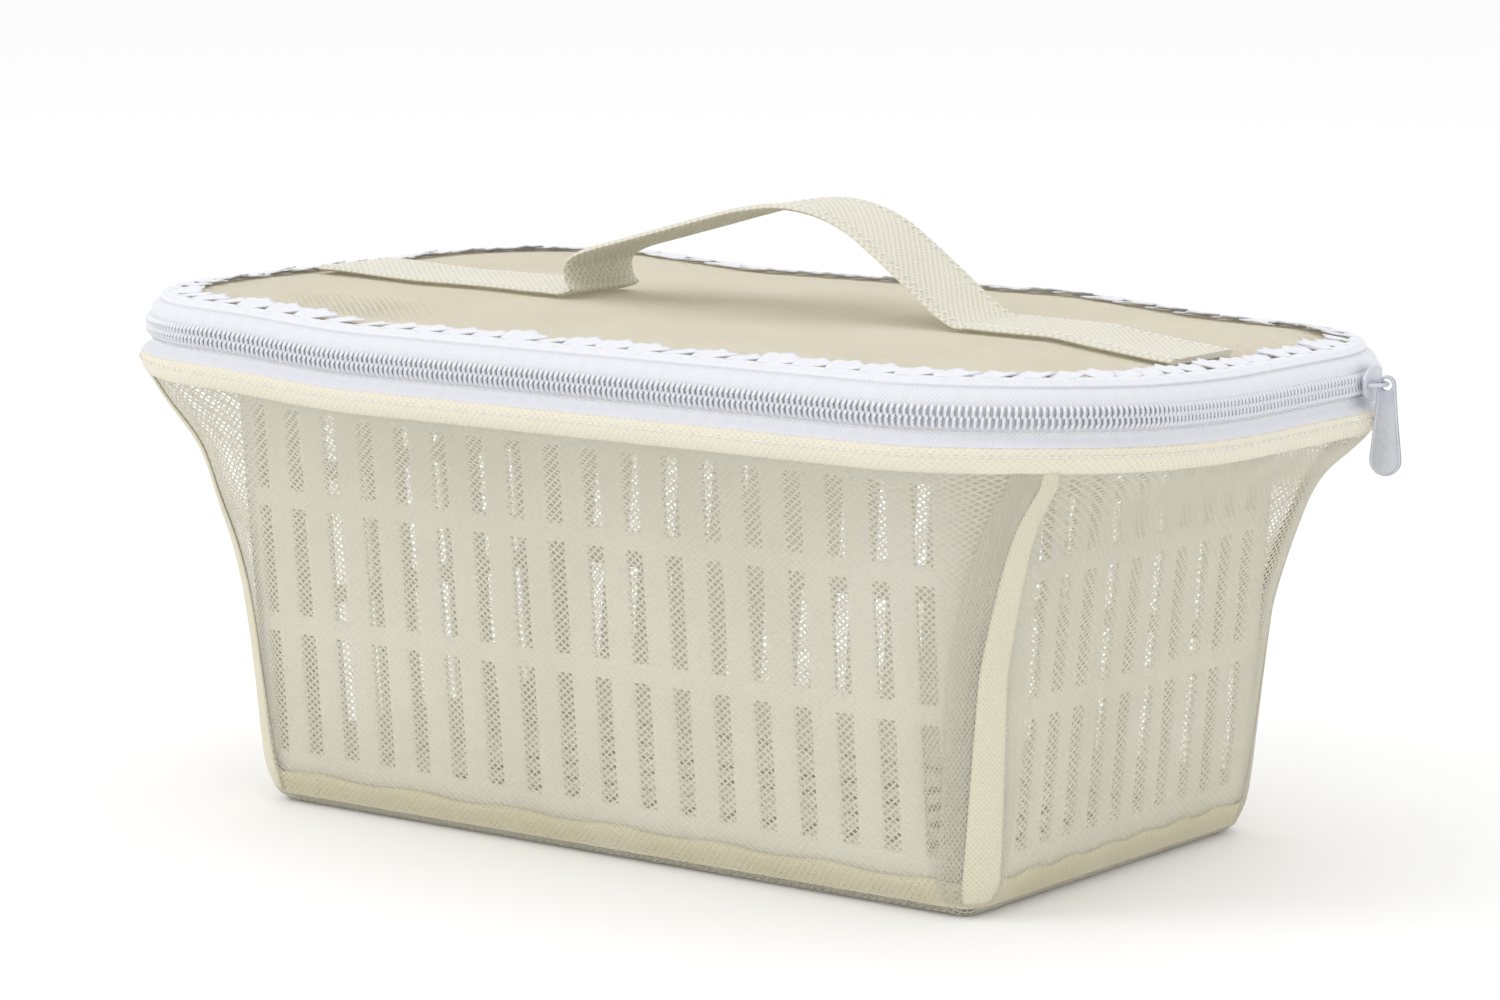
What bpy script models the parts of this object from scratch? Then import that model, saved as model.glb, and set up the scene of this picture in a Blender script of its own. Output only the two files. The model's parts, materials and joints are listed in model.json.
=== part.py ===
"""Mesh laundry bag zipped over a slatted plastic basket, modelled in metres.

Origin: centre of the bag's flat underside. +X runs along the long side to the right,
+Y to the hinged back of the lid, +Z up. The front faces -Y.
Everything round the bag follows one outline, the widest line of its rim, at an inset from it.
"""

import math

import bmesh
import bpy

# ---- driving dimensions -------------------------------------------------------------------
RIM_LENGTH = 0.352
RIM_DEPTH = 0.215
RIM_RADIUS = 0.063
CHAIN_HEIGHT = 0.139  # the line where the two zip coils meet

MESH_WALL = 0.0008
GAP = 0.0003

# ---- how the outline changes down the bag -----------------------------------------------------
END_DRAW = 0.0115  # how much further in the short walls stand than the long ones
END_DRAW_REACH = 0.0255  # the inset where that is reached
CORNER_TIGHTENING = 0.55

# ---- zip ------------------------------------------------------------------------------------
COIL_WIDTH = 0.0026
COIL_DEPTH = 0.0021
CHAIN_SPLIT = 0.0010  # free space between the coils, where a slider's web runs
TAPE_WALL = 0.0006
TAPE_INSET = 0.0040
TAPE_HEIGHT = 0.0075  # from the chain line to the tape's sewn edge
ZIP_END_ANGLE = 80.0  # degrees round the back corner where the chain ends
OPENING_END_ANGLE = 60.0  # degrees round the back corner where the lid lets go of the bag

# ---- lid ------------------------------------------------------------------------------------
LID_RISE = 0.0022  # the lid's middle above its edge
LID_EDGE_INSET = 0.0070
TRIM_WIDTH = 0.0090
TRIM_WALL = 0.0007
TRIM_INSET = 0.0078

# ---- webbing handle -------------------------------------------------------------------------
WEBBING_WIDTH = 0.032
WEBBING_WALL = 0.0016
LOOP_LEFT_X = -0.053
LOOP_RIGHT_X = 0.080
LOOP_HEIGHT = 0.0309  # top of the loop above the lid
# The loop's underside: (share of the way from foot to foot, share of the height).
LOOP_LEFT_LEG = ((0.0, 0.03), (-0.012, 0.16), (-0.012, 0.31), (0.03, 0.42), (0.128, 0.545), (0.263, 0.71))
LOOP_GRIP = ((0.368, 0.84), (0.459, 0.94), (0.564, 1.0), (0.654, 0.955), (0.73, 0.83))
LOOP_RIGHT_LEG = ((0.797, 0.64), (0.85, 0.47), (0.902, 0.30), (0.955, 0.12), (1.0, 0.03))

# ---- basket ---------------------------------------------------------------------------------
BASKET_WALL = 0.0020
BASKET_FOOT_INSET = 0.0356
BASKET_SLOPE = 0.0875  # how far the wall leans out for each unit of height
BASKET_DROP = 0.0088  # from the chain line down to the basket's top
FLANGE_WALL = 0.0020
FLANGE_INSET = 0.0060
FLANGE_LIP = 0.0037
FLOOR_LOW = 0.0014
FLOOR_WALL = 0.0025
SLOT_WIDTH = 0.0055
SLOT_PITCH = 0.0138
SLOTS_LONG_WALL = 18
SIDE_SLOT_PITCH = 0.0116
SLOTS_SHORT_WALL = 10
SLOT_FOOT = 0.0165
SLOT_HEAD_DROP = 0.0210
BAR_SHARES = (0.40, 0.67)  # heights of the two bars, as shares of the chain line's
BAR_WIDTH = 0.0055
FLOOR_SLOT_LENGTH = 0.046

# ---- slider and pull tab ----------------------------------------------------------------------
SLIDER_LENGTH = 0.0130
SLIDER_HEIGHT = 0.0096
SLIDER_PLATE = 0.0010
SLIDER_CLEARANCE = 0.0005
TAB_CLEARANCE = 0.00048  # between the hanging tab's edge and the hem
BRIDGE_BAR = 0.0011
BRIDGE_WIDTH = 0.0012
TAB_LENGTH = 0.0280
TAB_WALL = 0.0012
TAB_EYE_RADIUS = 0.00165
TAB_NECK = 0.0026
TAB_SHOULDER = 0.30  # where its taper starts, as a share of its length
TAB_SHOULDER_HALF = 0.00325
TAB_END = 0.0046
SLIDER_INNER_CLEARANCE = 0.0012
SLIDER_ANGLES = {"front": 8.0, "rear": 68.0}
TAB_TWISTS = {"front": 0.0, "rear": 29.0}

# ---- soft unevenness of the cloth rim ---------------------------------------------------------
RIGHT_DROOP = 0.0040
LEFT_RISE = 0.0030

# ---- mesh fineness ----------------------------------------------------------------------------
ARC_STEP = 11.25
LONG_RUN_PARTS = 6
SHORT_RUN_PARTS = 3


def smooth_step(value, low, high):
    share = min(1.0, max(0.0, (value - low) / (high - low)))
    return share * share * (3 - 2 * share)


def rim_wave(x, y):
    """How far the cloth rim hangs low at the right rear and rides high at the left."""
    right = smooth_step(x, 0.12 * RIM_LENGTH, 0.32 * RIM_LENGTH)
    rear = smooth_step(y, -0.47 * RIM_DEPTH, 0.0)
    left = smooth_step(-x, 0.17 * RIM_LENGTH, 0.35 * RIM_LENGTH)
    return LEFT_RISE * left - RIGHT_DROOP * right * rear


def wave_share(inset, z):
    """The wave fades out down the wall and across the lid."""
    down = smooth_step(z, CHAIN_HEIGHT - 0.040, CHAIN_HEIGHT - 0.012)
    across = 1 - smooth_step(inset, TRIM_INSET + TRIM_WIDTH, 0.075)
    return down * across


def corner_radius(inset):
    """Corners are concentric near the rim and tighten further in."""
    return max(0.001, RIM_RADIUS - inset - CORNER_TIGHTENING * max(0.0, inset - FLANGE_INSET))


def end_inset(inset):
    """The inset of a short wall where a long one has the given inset."""
    share = (inset - FLANGE_INSET) / (END_DRAW_REACH - FLANGE_INSET)
    return inset + END_DRAW * min(1.0, max(0.0, share))


# ---- the outline ------------------------------------------------------------------------------
def corner_point(quarter, angle, inset):
    radius = corner_radius(inset)
    reach_x = RIM_LENGTH / 2 - end_inset(inset) - radius
    reach_y = RIM_DEPTH / 2 - inset - radius
    side_x, side_y = ((1, 1), (-1, 1), (-1, -1), (1, -1))[quarter % 4]
    turn = math.radians(angle)
    x = side_x * reach_x + radius * math.cos(turn)
    y = side_y * reach_y + radius * math.sin(turn)
    return x, y


def stations(start, stop):
    """Places along the outline from one angle to another: (quarter, angle, share of the straight run)."""
    found = []
    quarter = math.floor(start / 90 + 1e-9)
    while quarter * 90 < stop - 1e-9:
        low = max(start, quarter * 90)
        high = min(stop, quarter * 90 + 90)
        parts = max(1, math.ceil((high - low) / ARC_STEP - 1e-9))
        for step in range(parts + 1):
            found.append((quarter, low + (high - low) * step / parts, 0.0))
        run_parts = LONG_RUN_PARTS if quarter % 2 == 0 else SHORT_RUN_PARTS
        if stop > quarter * 90 + 90 + 1e-9 or stop - start >= 360 - 1e-9:
            for step in range(1, run_parts):
                found.append((quarter, quarter * 90 + 90, step / run_parts))
        quarter += 1
    return found


def outline_point(station, inset, z):
    quarter, angle, share = station
    x, y = corner_point(quarter, angle, inset)
    if share:
        far_x, far_y = corner_point(quarter + 1, angle, inset)
        x += (far_x - x) * share
        y += (far_y - y) * share
    return x, y, z + rim_wave(x, y) * wave_share(inset, z)


# ---- making objects ---------------------------------------------------------------------------
def material(name, colour, roughness, metallic=0.0):
    made = bpy.data.materials.get(name)
    if made is None:
        made = bpy.data.materials.new(name)
        made.use_nodes = True
        shader = made.node_tree.nodes["Principled BSDF"]
        shader.inputs["Base Color"].default_value = (*colour, 1.0)
        shader.inputs["Roughness"].default_value = roughness
        shader.inputs["Metallic"].default_value = metallic
    return made


def cream_mesh():
    return material("cream_mesh", (0.86, 0.82, 0.66), 0.8)


def white_tape():
    return material("white_tape", (0.90, 0.90, 0.93), 0.75)


def white_nylon():
    return material("white_nylon", (0.92, 0.93, 0.95), 0.45)


def cream_webbing():
    return material("cream_webbing", (0.87, 0.86, 0.74), 0.8)


def cream_plastic():
    return material("cream_plastic", (0.86, 0.86, 0.79), 0.45)


def white_enamel():
    return material("white_enamel", (0.80, 0.82, 0.85), 0.35, 0.2)


def object_from(name, points, faces, finish):
    mesh = bpy.data.meshes.new(name)
    mesh.from_pydata(points, [], faces)
    edit = bmesh.new()
    edit.from_mesh(mesh)
    bmesh.ops.recalc_face_normals(edit, faces=edit.faces)
    edit.to_mesh(mesh)
    edit.free()
    mesh.materials.append(finish)
    made = bpy.data.objects.new(name, mesh)
    bpy.context.scene.collection.objects.link(made)
    return made


def sweep(name, section, finish, start=0.0, stop=360.0):
    """A closed section of (inset, z) points, carried along the outline."""
    places = stations(start, stop)
    size = len(section)
    points = [outline_point(place, *corner) for place in places for corner in section]
    count = len(places)
    whole = stop - start >= 360 - 1e-9
    faces = []
    for column in range(count if whole else count - 1):
        here = column * size
        there = ((column + 1) % count) * size
        for row in range(size):
            after = (row + 1) % size
            faces.append((here + row, here + after, there + after, there + row))
    if not whole:
        faces.append(tuple(range(size)))
        faces.append(tuple(range((count - 1) * size, count * size)))
    return object_from(name, points, faces, finish)


def plate(name, top, bottom, finish):
    """A filled sheet inside the outline. top and bottom are (inset, z) lines from the edge to the middle."""
    places = stations(0.0, 360.0)
    section = list(reversed(top)) + list(bottom)
    size = len(section)
    count = len(places)
    points = [outline_point(place, *corner) for place in places for corner in section]
    faces = []
    for column in range(count):
        here = column * size
        there = ((column + 1) % count) * size
        for row in range(size - 1):
            faces.append((here + row, here + row + 1, there + row + 1, there + row))
    faces.append(tuple(column * size for column in range(count)))
    faces.append(tuple(column * size + size - 1 for column in range(count)))
    return object_from(name, points, faces, finish)


def walled(line, wall):
    """A section that follows a line of (inset, z) points, thickened towards the inside."""
    return list(line) + [(inset + wall, z) for inset, z in reversed(line)]


def box_cutter(name, boxes):
    """One hidden helper that holds separate boxes, each given by its two far corners."""
    points = []
    faces = []
    for low, high in boxes:
        base = len(points)
        for corner in range(8):
            points.append(tuple((high if corner >> axis & 1 else low)[axis] for axis in range(3)))
        for side in ((0, 2, 3, 1), (4, 5, 7, 6), (0, 1, 5, 4), (2, 6, 7, 3), (0, 4, 6, 2), (1, 3, 7, 5)):
            faces.append(tuple(base + corner for corner in side))
    mesh = bpy.data.meshes.new(name)
    mesh.from_pydata(points, [], faces)
    helper = bpy.data.objects.new(name, mesh)
    bpy.context.scene.collection.objects.link(helper)
    helper.hide_render = True
    helper.display_type = "WIRE"
    return helper


def cut(target, cutter):
    change = target.modifiers.new("slots", "BOOLEAN")
    change.operation = "DIFFERENCE"
    change.solver = "EXACT"
    change.object = cutter


# ---- basket -----------------------------------------------------------------------------------
BASKET_TOP = CHAIN_HEIGHT - BASKET_DROP
FLOOR_TOP = FLOOR_LOW + FLOOR_WALL
ROUND_HIGH = 0.0190  # where the rounded foot ends
ROUND_MIDDLE = 0.0100
FOOT_ROUND = ((0.0039, FLOOR_TOP + GAP), (0.0010, ROUND_MIDDLE), (0.0, ROUND_HIGH))


def basket_inset(z):
    return BASKET_FOOT_INSET - BASKET_SLOPE * z


def slot_rows():
    """(low, high) of each row of slots, between the bars that join the slats."""
    edges = [SLOT_FOOT]
    for share in BAR_SHARES:
        height = share * CHAIN_HEIGHT
        edges += [height - BAR_WIDTH / 2, height + BAR_WIDTH / 2]
    edges.append(CHAIN_HEIGHT - SLOT_HEAD_DROP)
    return list(zip(edges[::2], edges[1::2]))


def slot_boxes(count, pitch, along, reach):
    """Boxes that cut one wall's slots. along is 0 for a long wall and 1 for a short one."""
    across = 1 - along
    boxes = []
    for low_z, high_z in slot_rows():
        for number in range(count):
            middle = (number - (count - 1) / 2) * pitch
            low = [0.0, 0.0, low_z]
            high = [0.0, 0.0, high_z]
            low[along] = middle - SLOT_WIDTH / 2
            high[along] = middle + SLOT_WIDTH / 2
            low[across], high[across] = sorted((0.6 * reach, 1.1 * reach))
            boxes.append((low, high))
    return boxes


def make_basket_walls():
    head = BASKET_TOP - FLANGE_WALL - GAP
    line = [(basket_inset(z) + tuck, z) for tuck, z in FOOT_ROUND]
    section = walled([*line, (basket_inset(head), head)], BASKET_WALL)
    overlap = 30.0  # how far a wall runs into the corners, in degrees
    part_line = 1.2
    long_reach = RIM_DEPTH / 2
    short_reach = RIM_LENGTH / 2
    walls = (
        ("back", 90.0, 0, SLOTS_LONG_WALL, SLOT_PITCH, long_reach),
        ("left", 180.0, 1, SLOTS_SHORT_WALL, SIDE_SLOT_PITCH, -short_reach),
        ("front", 270.0, 0, SLOTS_LONG_WALL, SLOT_PITCH, -long_reach),
        ("right", 360.0, 1, SLOTS_SHORT_WALL, SIDE_SLOT_PITCH, short_reach),
    )
    for side, angle, along, count, pitch, reach in walls:
        wall = sweep(f"basket_{side}_wall", section, cream_plastic(), angle - overlap, angle + overlap)
        cut(wall, box_cutter(f"{side}_slot_cutter", slot_boxes(count, pitch, along, reach)))
    corners = ("rear_left", "front_left", "front_right", "rear_right")
    for number, corner in enumerate(corners):
        start = 90 * (number + 1) + overlap + part_line
        span = 90 - 2 * (overlap + part_line)
        sweep(f"basket_{corner}_corner", section, cream_plastic(), start, start + span)


def make_basket_rim():
    inner = basket_inset(BASKET_TOP) + BASKET_WALL
    under = BASKET_TOP - FLANGE_WALL
    section = [
        (FLANGE_INSET, BASKET_TOP - FLANGE_LIP),
        (FLANGE_INSET, BASKET_TOP),
        (inner, BASKET_TOP),
        (inner, under),
        (FLANGE_INSET + FLANGE_WALL, under),
        (FLANGE_INSET + FLANGE_WALL, BASKET_TOP - FLANGE_LIP),
    ]
    sweep("basket_rim", section, cream_plastic())


def make_basket_floor():
    edge = basket_inset(FLOOR_TOP) + FOOT_ROUND[0][0]
    floor = plate(
        "basket_floor",
        [(edge + GAP, FLOOR_TOP)],
        [(edge + 0.0040, FLOOR_LOW)],
        cream_plastic(),
    )
    boxes = []
    count = SLOTS_LONG_WALL - 4
    for row in (-1, 1):
        for number in range(count):
            x = (number - (count - 1) / 2) * SLOT_PITCH
            y = row * 0.56 * FLOOR_SLOT_LENGTH
            low = (x - SLOT_WIDTH / 2, y - FLOOR_SLOT_LENGTH / 2, -0.01)
            high = (x + SLOT_WIDTH / 2, y + FLOOR_SLOT_LENGTH / 2, 0.01)
            boxes.append((low, high))
    cut(floor, box_cutter("floor_slot_cutter", boxes))


# ---- mesh bag body ----------------------------------------------------------------------------
BODY_FOOT = 0.0030
HEM_LOW = CHAIN_HEIGHT - 0.0123
HEM_HIGH = CHAIN_HEIGHT - 0.0080
HEM_WIDEST = HEM_LOW + 0.0023
HEM_OUTER_INSET = 0.0003
# How far the cloth stands off the basket, by height as a share of the hem's.
BODY_SLACK = ((0.30, 0.0013), (0.52, 0.0028), (0.71, 0.0061), (0.845, 0.0104), (0.94, 0.0168))


def body_line():
    """The cloth wall from the underside's edge up to the hem, as (inset, z)."""
    foot = ((FOOT_ROUND[0][0], BODY_FOOT), (FOOT_ROUND[1][0], ROUND_MIDDLE), (0.0, ROUND_HIGH))
    line = [(basket_inset(z) + tuck - MESH_WALL - 2 * GAP, z) for tuck, z in foot]
    for share, slack in BODY_SLACK:
        z = share * HEM_LOW
        line.append((basket_inset(z) - MESH_WALL - slack, z))
    return [*line, (0.0022, HEM_LOW)]


def make_bag_body():
    section = walled(body_line(), MESH_WALL)
    part_line = 0.4
    for number, side in enumerate(("back", "left", "front", "right")):
        start = 45 + 90 * number + part_line
        sweep(f"bag_{side}_panel", section, cream_mesh(), start, start + 90 - 2 * part_line)
    edge = body_line()[0][0]
    top = MESH_WALL
    plate(
        "bag_bottom_panel",
        [(edge, BODY_FOOT - GAP), (edge + 0.0024, top), (0.60 * RIM_DEPTH / 2, top)],
        [(edge + 0.0002, top), (edge + 0.0020, 0.0), (0.60 * RIM_DEPTH / 2, 0.0)],
        cream_mesh(),
    )
    hem = [
        (0.0022, HEM_LOW + GAP),
        (HEM_OUTER_INSET, HEM_WIDEST),
        (2 * HEM_OUTER_INSET, HEM_HIGH),
    ]
    sweep("bag_rim_hem", walled(hem, MESH_WALL), cream_mesh())


# ---- zip --------------------------------------------------------------------------------------
def tape_section(direction):
    """One tape: direction is 1 for the lid's, -1 for the bag's. It leans to the cloth that it is sewn to."""
    near = CHAIN_HEIGHT + direction * CHAIN_SPLIT / 2
    bend = CHAIN_HEIGHT + direction * 0.6 * TAPE_HEIGHT
    far = CHAIN_HEIGHT + direction * TAPE_HEIGHT
    far_inset = LID_EDGE_INSET if direction > 0 else 0.0010
    return walled([(TAPE_INSET, near), (TAPE_INSET, bend), (far_inset, far)], TAPE_WALL)


def coil_section(direction):
    near = CHAIN_HEIGHT + direction * CHAIN_SPLIT / 2
    far = near + direction * COIL_WIDTH
    outer = TAPE_INSET - GAP - COIL_DEPTH
    bevel = 0.25 * COIL_DEPTH
    return [
        (outer + bevel, near),
        (outer, (near + far) / 2),
        (outer + bevel, far),
        (TAPE_INSET - GAP, far),
        (TAPE_INSET - GAP, near),
    ]


def make_zip():
    part_line = 0.6
    open_start = 180 - OPENING_END_ANGLE
    open_stop = 360 + OPENING_END_ANGLE
    end_start = 180 - ZIP_END_ANGLE
    end_stop = 360 + ZIP_END_ANGLE
    sweep("zip_tape_bag_side", tape_section(-1), white_tape())
    sweep("zip_coil_bag_side", coil_section(-1), white_nylon(), end_start, end_stop)
    sweep("zip_tape_lid_side", tape_section(1), white_tape(), open_start + part_line, open_stop - part_line)
    sweep("zip_coil_lid_side", coil_section(1), white_nylon(), open_start + part_line, open_stop - part_line)
    sweep("lid_hinge_tape", tape_section(1), white_tape(), OPENING_END_ANGLE, open_start)
    ends = (("right", OPENING_END_ANGLE, ZIP_END_ANGLE), ("left", end_start, open_start))
    for side, start, stop in ends:
        sweep(f"zip_coil_{side}_end", coil_section(1), white_nylon(), start, stop)
    stop_reach = 2.2  # degrees that an end stop takes up
    outer = TAPE_INSET - GAP - COIL_DEPTH
    stop_section = [
        (outer, CHAIN_HEIGHT - COIL_WIDTH),
        (outer, CHAIN_HEIGHT + COIL_WIDTH),
        (TAPE_INSET - GAP, CHAIN_HEIGHT + COIL_WIDTH),
        (TAPE_INSET - GAP, CHAIN_HEIGHT - COIL_WIDTH),
    ]
    stops = (("right", ZIP_END_ANGLE + part_line), ("left", end_start - part_line - stop_reach))
    for side, start in stops:
        sweep(f"zip_end_stop_{side}", stop_section, white_enamel(), start, start + stop_reach)


# ---- sliders and pull tabs --------------------------------------------------------------------
def joined_boxes(name, boxes, finish):
    """Boxes that overlap, made one solid. The first is the base and the others are united with it."""
    base = None
    for number, (low, high) in enumerate(boxes):
        points = []
        for corner in range(8):
            points.append(tuple((high if corner >> axis & 1 else low)[axis] for axis in range(3)))
        faces = [(0, 2, 3, 1), (4, 5, 7, 6), (0, 1, 5, 4), (2, 6, 7, 3), (0, 4, 6, 2), (1, 3, 7, 5)]
        label = name if number == 0 else f"{name}_piece_{number}"
        made = object_from(label, points, faces, finish)
        if base is None:
            base = made
            continue
        made.hide_render = True
        made.display_type = "WIRE"
        made.parent = base
        union = base.modifiers.new(label, "BOOLEAN")
        union.operation = "UNION"
        union.solver = "EXACT"
        union.object = made
    return base


def slider_boxes():
    """The slider in its own frame: X outwards from the rim line, Y along the zip, Z up from the chain."""
    half_length = SLIDER_LENGTH / 2
    half_height = SLIDER_HEIGHT / 2
    coil_face = -(TAPE_INSET - GAP - COIL_DEPTH)
    outer_low = coil_face + SLIDER_CLEARANCE
    outer_high = outer_low + SLIDER_PLATE
    inner_high = -(TAPE_INSET + TAPE_WALL + SLIDER_INNER_CLEARANCE)
    inner_low = inner_high - SLIDER_PLATE
    web = CHAIN_SPLIT / 4
    sink = 0.2 * SLIDER_PLATE
    bar_low = bar_offset() - BRIDGE_BAR / 2
    bar_high = bar_low + BRIDGE_BAR
    post = 0.0016
    reach = 0.36 * SLIDER_LENGTH
    boxes = [
        ((outer_low, -half_length, -half_height), (outer_high, half_length, half_height)),
        ((inner_low, -half_length, -half_height), (inner_high, half_length, half_height)),
        ((inner_low + sink, -0.3 * half_length, -web), (outer_high - sink, 0.3 * half_length, web)),
    ]
    for side in (-1, 1):
        low_y, high_y = sorted((side * reach, side * (reach - post)))
        boxes.append(
            ((outer_high - sink, low_y, -BRIDGE_WIDTH / 2), (bar_high - sink, high_y, BRIDGE_WIDTH / 2))
        )
    rim = 0.6 * sink
    boxes.append(
        (
            (bar_low, -reach - rim, -BRIDGE_WIDTH / 2 - rim),
            (bar_high, reach + rim, BRIDGE_WIDTH / 2 + rim),
        )
    )
    # The web joins the plates first, so that every union meets a solid that it touches.
    return [boxes[0], boxes[2], boxes[1], *boxes[3:]]


def tab_end_drop():
    """How far below its eye the tab's round end starts."""
    return TAB_LENGTH - TAB_NECK - TAB_END


def tab_half_width(drop):
    """The tapering stretch of the tab."""
    shoulder = TAB_SHOULDER * TAB_LENGTH
    share = (drop - shoulder) / (tab_end_drop() - shoulder)
    return TAB_SHOULDER_HALF + (TAB_END - TAB_SHOULDER_HALF) * share


def bar_offset():
    """The bar's centre, outwards from the rim line, so that the tab hangs clear of the hem."""
    return tab_half_width(CHAIN_HEIGHT - HEM_WIDEST) + TAB_CLEARANCE - HEM_OUTER_INSET


def tab_outline():
    """Half widths of the tab down its length, from its eye, as (drop, half width)."""
    line = []
    steps = 5
    for step in range(steps + 1):
        turn = math.pi / 2 * step / steps
        line.append((-TAB_NECK * math.cos(turn), TAB_NECK * math.sin(turn)))
    line.append((TAB_SHOULDER * TAB_LENGTH, TAB_SHOULDER_HALF))
    for step in range(steps + 1):
        turn = math.pi / 2 * step / steps
        line.append((tab_end_drop() + TAB_END * math.sin(turn), TAB_END * math.cos(turn)))
    return line


def make_pull_tab(name):
    """The tab in its slider's frame: flat across the zip, its eye round the bar, hanging down."""
    line = tab_outline()
    outline = [(half, -drop) for drop, half in line]
    outline += [(-half, -drop) for drop, half in reversed(line[1:-1])]
    points = [(x, side * TAB_WALL / 2, z) for side in (-1, 1) for x, z in outline]
    count = len(outline)
    faces = [tuple(range(count)), tuple(range(count, 2 * count))]
    for number in range(count):
        after = (number + 1) % count
        faces.append((number, after, count + after, count + number))
    tab = object_from(name, points, faces, white_enamel())
    eye_sides = 16
    ring = [
        (
            TAB_EYE_RADIUS * math.cos(2 * math.pi * side / eye_sides),
            TAB_EYE_RADIUS * math.sin(2 * math.pi * side / eye_sides),
        )
        for side in range(eye_sides)
    ]
    eye_points = [(x, side * TAB_WALL, z) for side in (-1, 1) for x, z in ring]
    eye_faces = [tuple(range(eye_sides)), tuple(range(eye_sides, 2 * eye_sides))]
    for number in range(eye_sides):
        after = (number + 1) % eye_sides
        eye_faces.append((number, after, eye_sides + after, eye_sides + number))
    eye = object_from(f"{name}_eye_cutter", eye_points, eye_faces, white_enamel())
    eye.hide_render = True
    eye.display_type = "WIRE"
    eye.parent = tab
    cut(tab, eye)
    return tab


def make_sliders():
    centre_x = RIM_LENGTH / 2 - RIM_RADIUS
    centre_y = RIM_DEPTH / 2 - RIM_RADIUS
    for place, angle in SLIDER_ANGLES.items():
        turn = math.radians(angle)
        x = centre_x + RIM_RADIUS * math.cos(turn)
        y = centre_y + RIM_RADIUS * math.sin(turn)
        z = CHAIN_HEIGHT + rim_wave(x, y)
        pivot = bpy.data.objects.new(f"zip_corner_{place}", None)
        pivot.location = (centre_x, centre_y, z)
        pivot.rotation_euler = (0, 0, turn)
        bpy.context.scene.collection.objects.link(pivot)
        slider = joined_boxes(f"{place}_slider_body", slider_boxes(), white_enamel())
        slider.parent = pivot
        slider.location = (RIM_RADIUS, 0, 0)
        tab = make_pull_tab(f"{place}_pull_tab")
        tab.parent = pivot
        tab.location = (RIM_RADIUS + bar_offset(), 0, 0)
        tab.rotation_euler = (0, 0, math.radians(TAB_TWISTS[place]))


# ---- lid --------------------------------------------------------------------------------------
LID_EDGE_HEIGHT = CHAIN_HEIGHT + TAPE_HEIGHT + GAP
LID_RINGS = (LID_EDGE_INSET, 0.0165, 0.032, 0.052, 0.40 * RIM_DEPTH)


def lid_top(inset):
    """Height of the lid's upper side, without the rim's wave."""
    return LID_EDGE_HEIGHT + MESH_WALL + LID_RISE * smooth_step(inset, 0.0, LID_RINGS[-1])


def make_lid_panel():
    top = [(inset, lid_top(inset)) for inset in LID_RINGS]
    bottom = [(inset, lid_top(inset) - MESH_WALL) for inset in LID_RINGS]
    plate("lid_mesh_panel", top, bottom, cream_mesh())


def make_lid_trim():
    steps = (TRIM_INSET, TRIM_INSET + TRIM_WIDTH)
    low = [(inset, lid_top(inset) + GAP) for inset in steps]
    high = [(inset, lid_top(inset) + GAP + TRIM_WALL) for inset in reversed(steps)]
    sweep("lid_scalloped_trim", low + high, white_tape())


def inset_at(x, y):
    """The inset of a place on the lid, away from its corners."""
    from_end = RIM_LENGTH / 2 - abs(x)
    ramp = END_DRAW_REACH - FLANGE_INSET
    if from_end > END_DRAW_REACH + END_DRAW:
        from_end -= END_DRAW
    elif from_end > FLANGE_INSET:
        from_end = FLANGE_INSET + (from_end - FLANGE_INSET) * ramp / (ramp + END_DRAW)
    return min(from_end, RIM_DEPTH / 2 - abs(y))


def lid_height(x, y):
    """The lid's upper side at a place, with the wave."""
    inset = inset_at(x, y)
    z = lid_top(inset)
    return z + rim_wave(x, y) * wave_share(inset, z)


def webbing(name, path, finish):
    """A flat strap across Y. path holds (x, z) of its underside."""
    half = WEBBING_WIDTH / 2
    columns = []
    for number, (x, z) in enumerate(path):
        before = path[max(0, number - 1)]
        after = path[min(len(path) - 1, number + 1)]
        run_x = after[0] - before[0]
        run_z = after[1] - before[1]
        length = math.hypot(run_x, run_z)
        lift_x = -run_z / length * WEBBING_WALL
        lift_z = run_x / length * WEBBING_WALL
        columns.append(
            [
                (x, -half, z),
                (x, half, z),
                (x + lift_x, half, z + lift_z),
                (x + lift_x, -half, z + lift_z),
            ]
        )
    points = [corner for column in columns for corner in column]
    faces = []
    for column in range(len(columns) - 1):
        here = 4 * column
        for row in range(4):
            after = (row + 1) % 4
            faces.append((here + row, here + after, here + 4 + after, here + 4 + row))
    faces.append((0, 1, 2, 3))
    last = 4 * (len(columns) - 1)
    faces.append((last, last + 1, last + 2, last + 3))
    return object_from(name, points, faces, finish)


def loop_path(shares):
    """(x, z) of a length of the handle loop's underside."""
    base = lid_height(0.0, 0.0) + 2 * GAP
    rise = LOOP_HEIGHT - WEBBING_WALL
    span = LOOP_RIGHT_X - LOOP_LEFT_X
    return [(LOOP_LEFT_X + along * span, base + up * rise) for along, up in shares]


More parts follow.
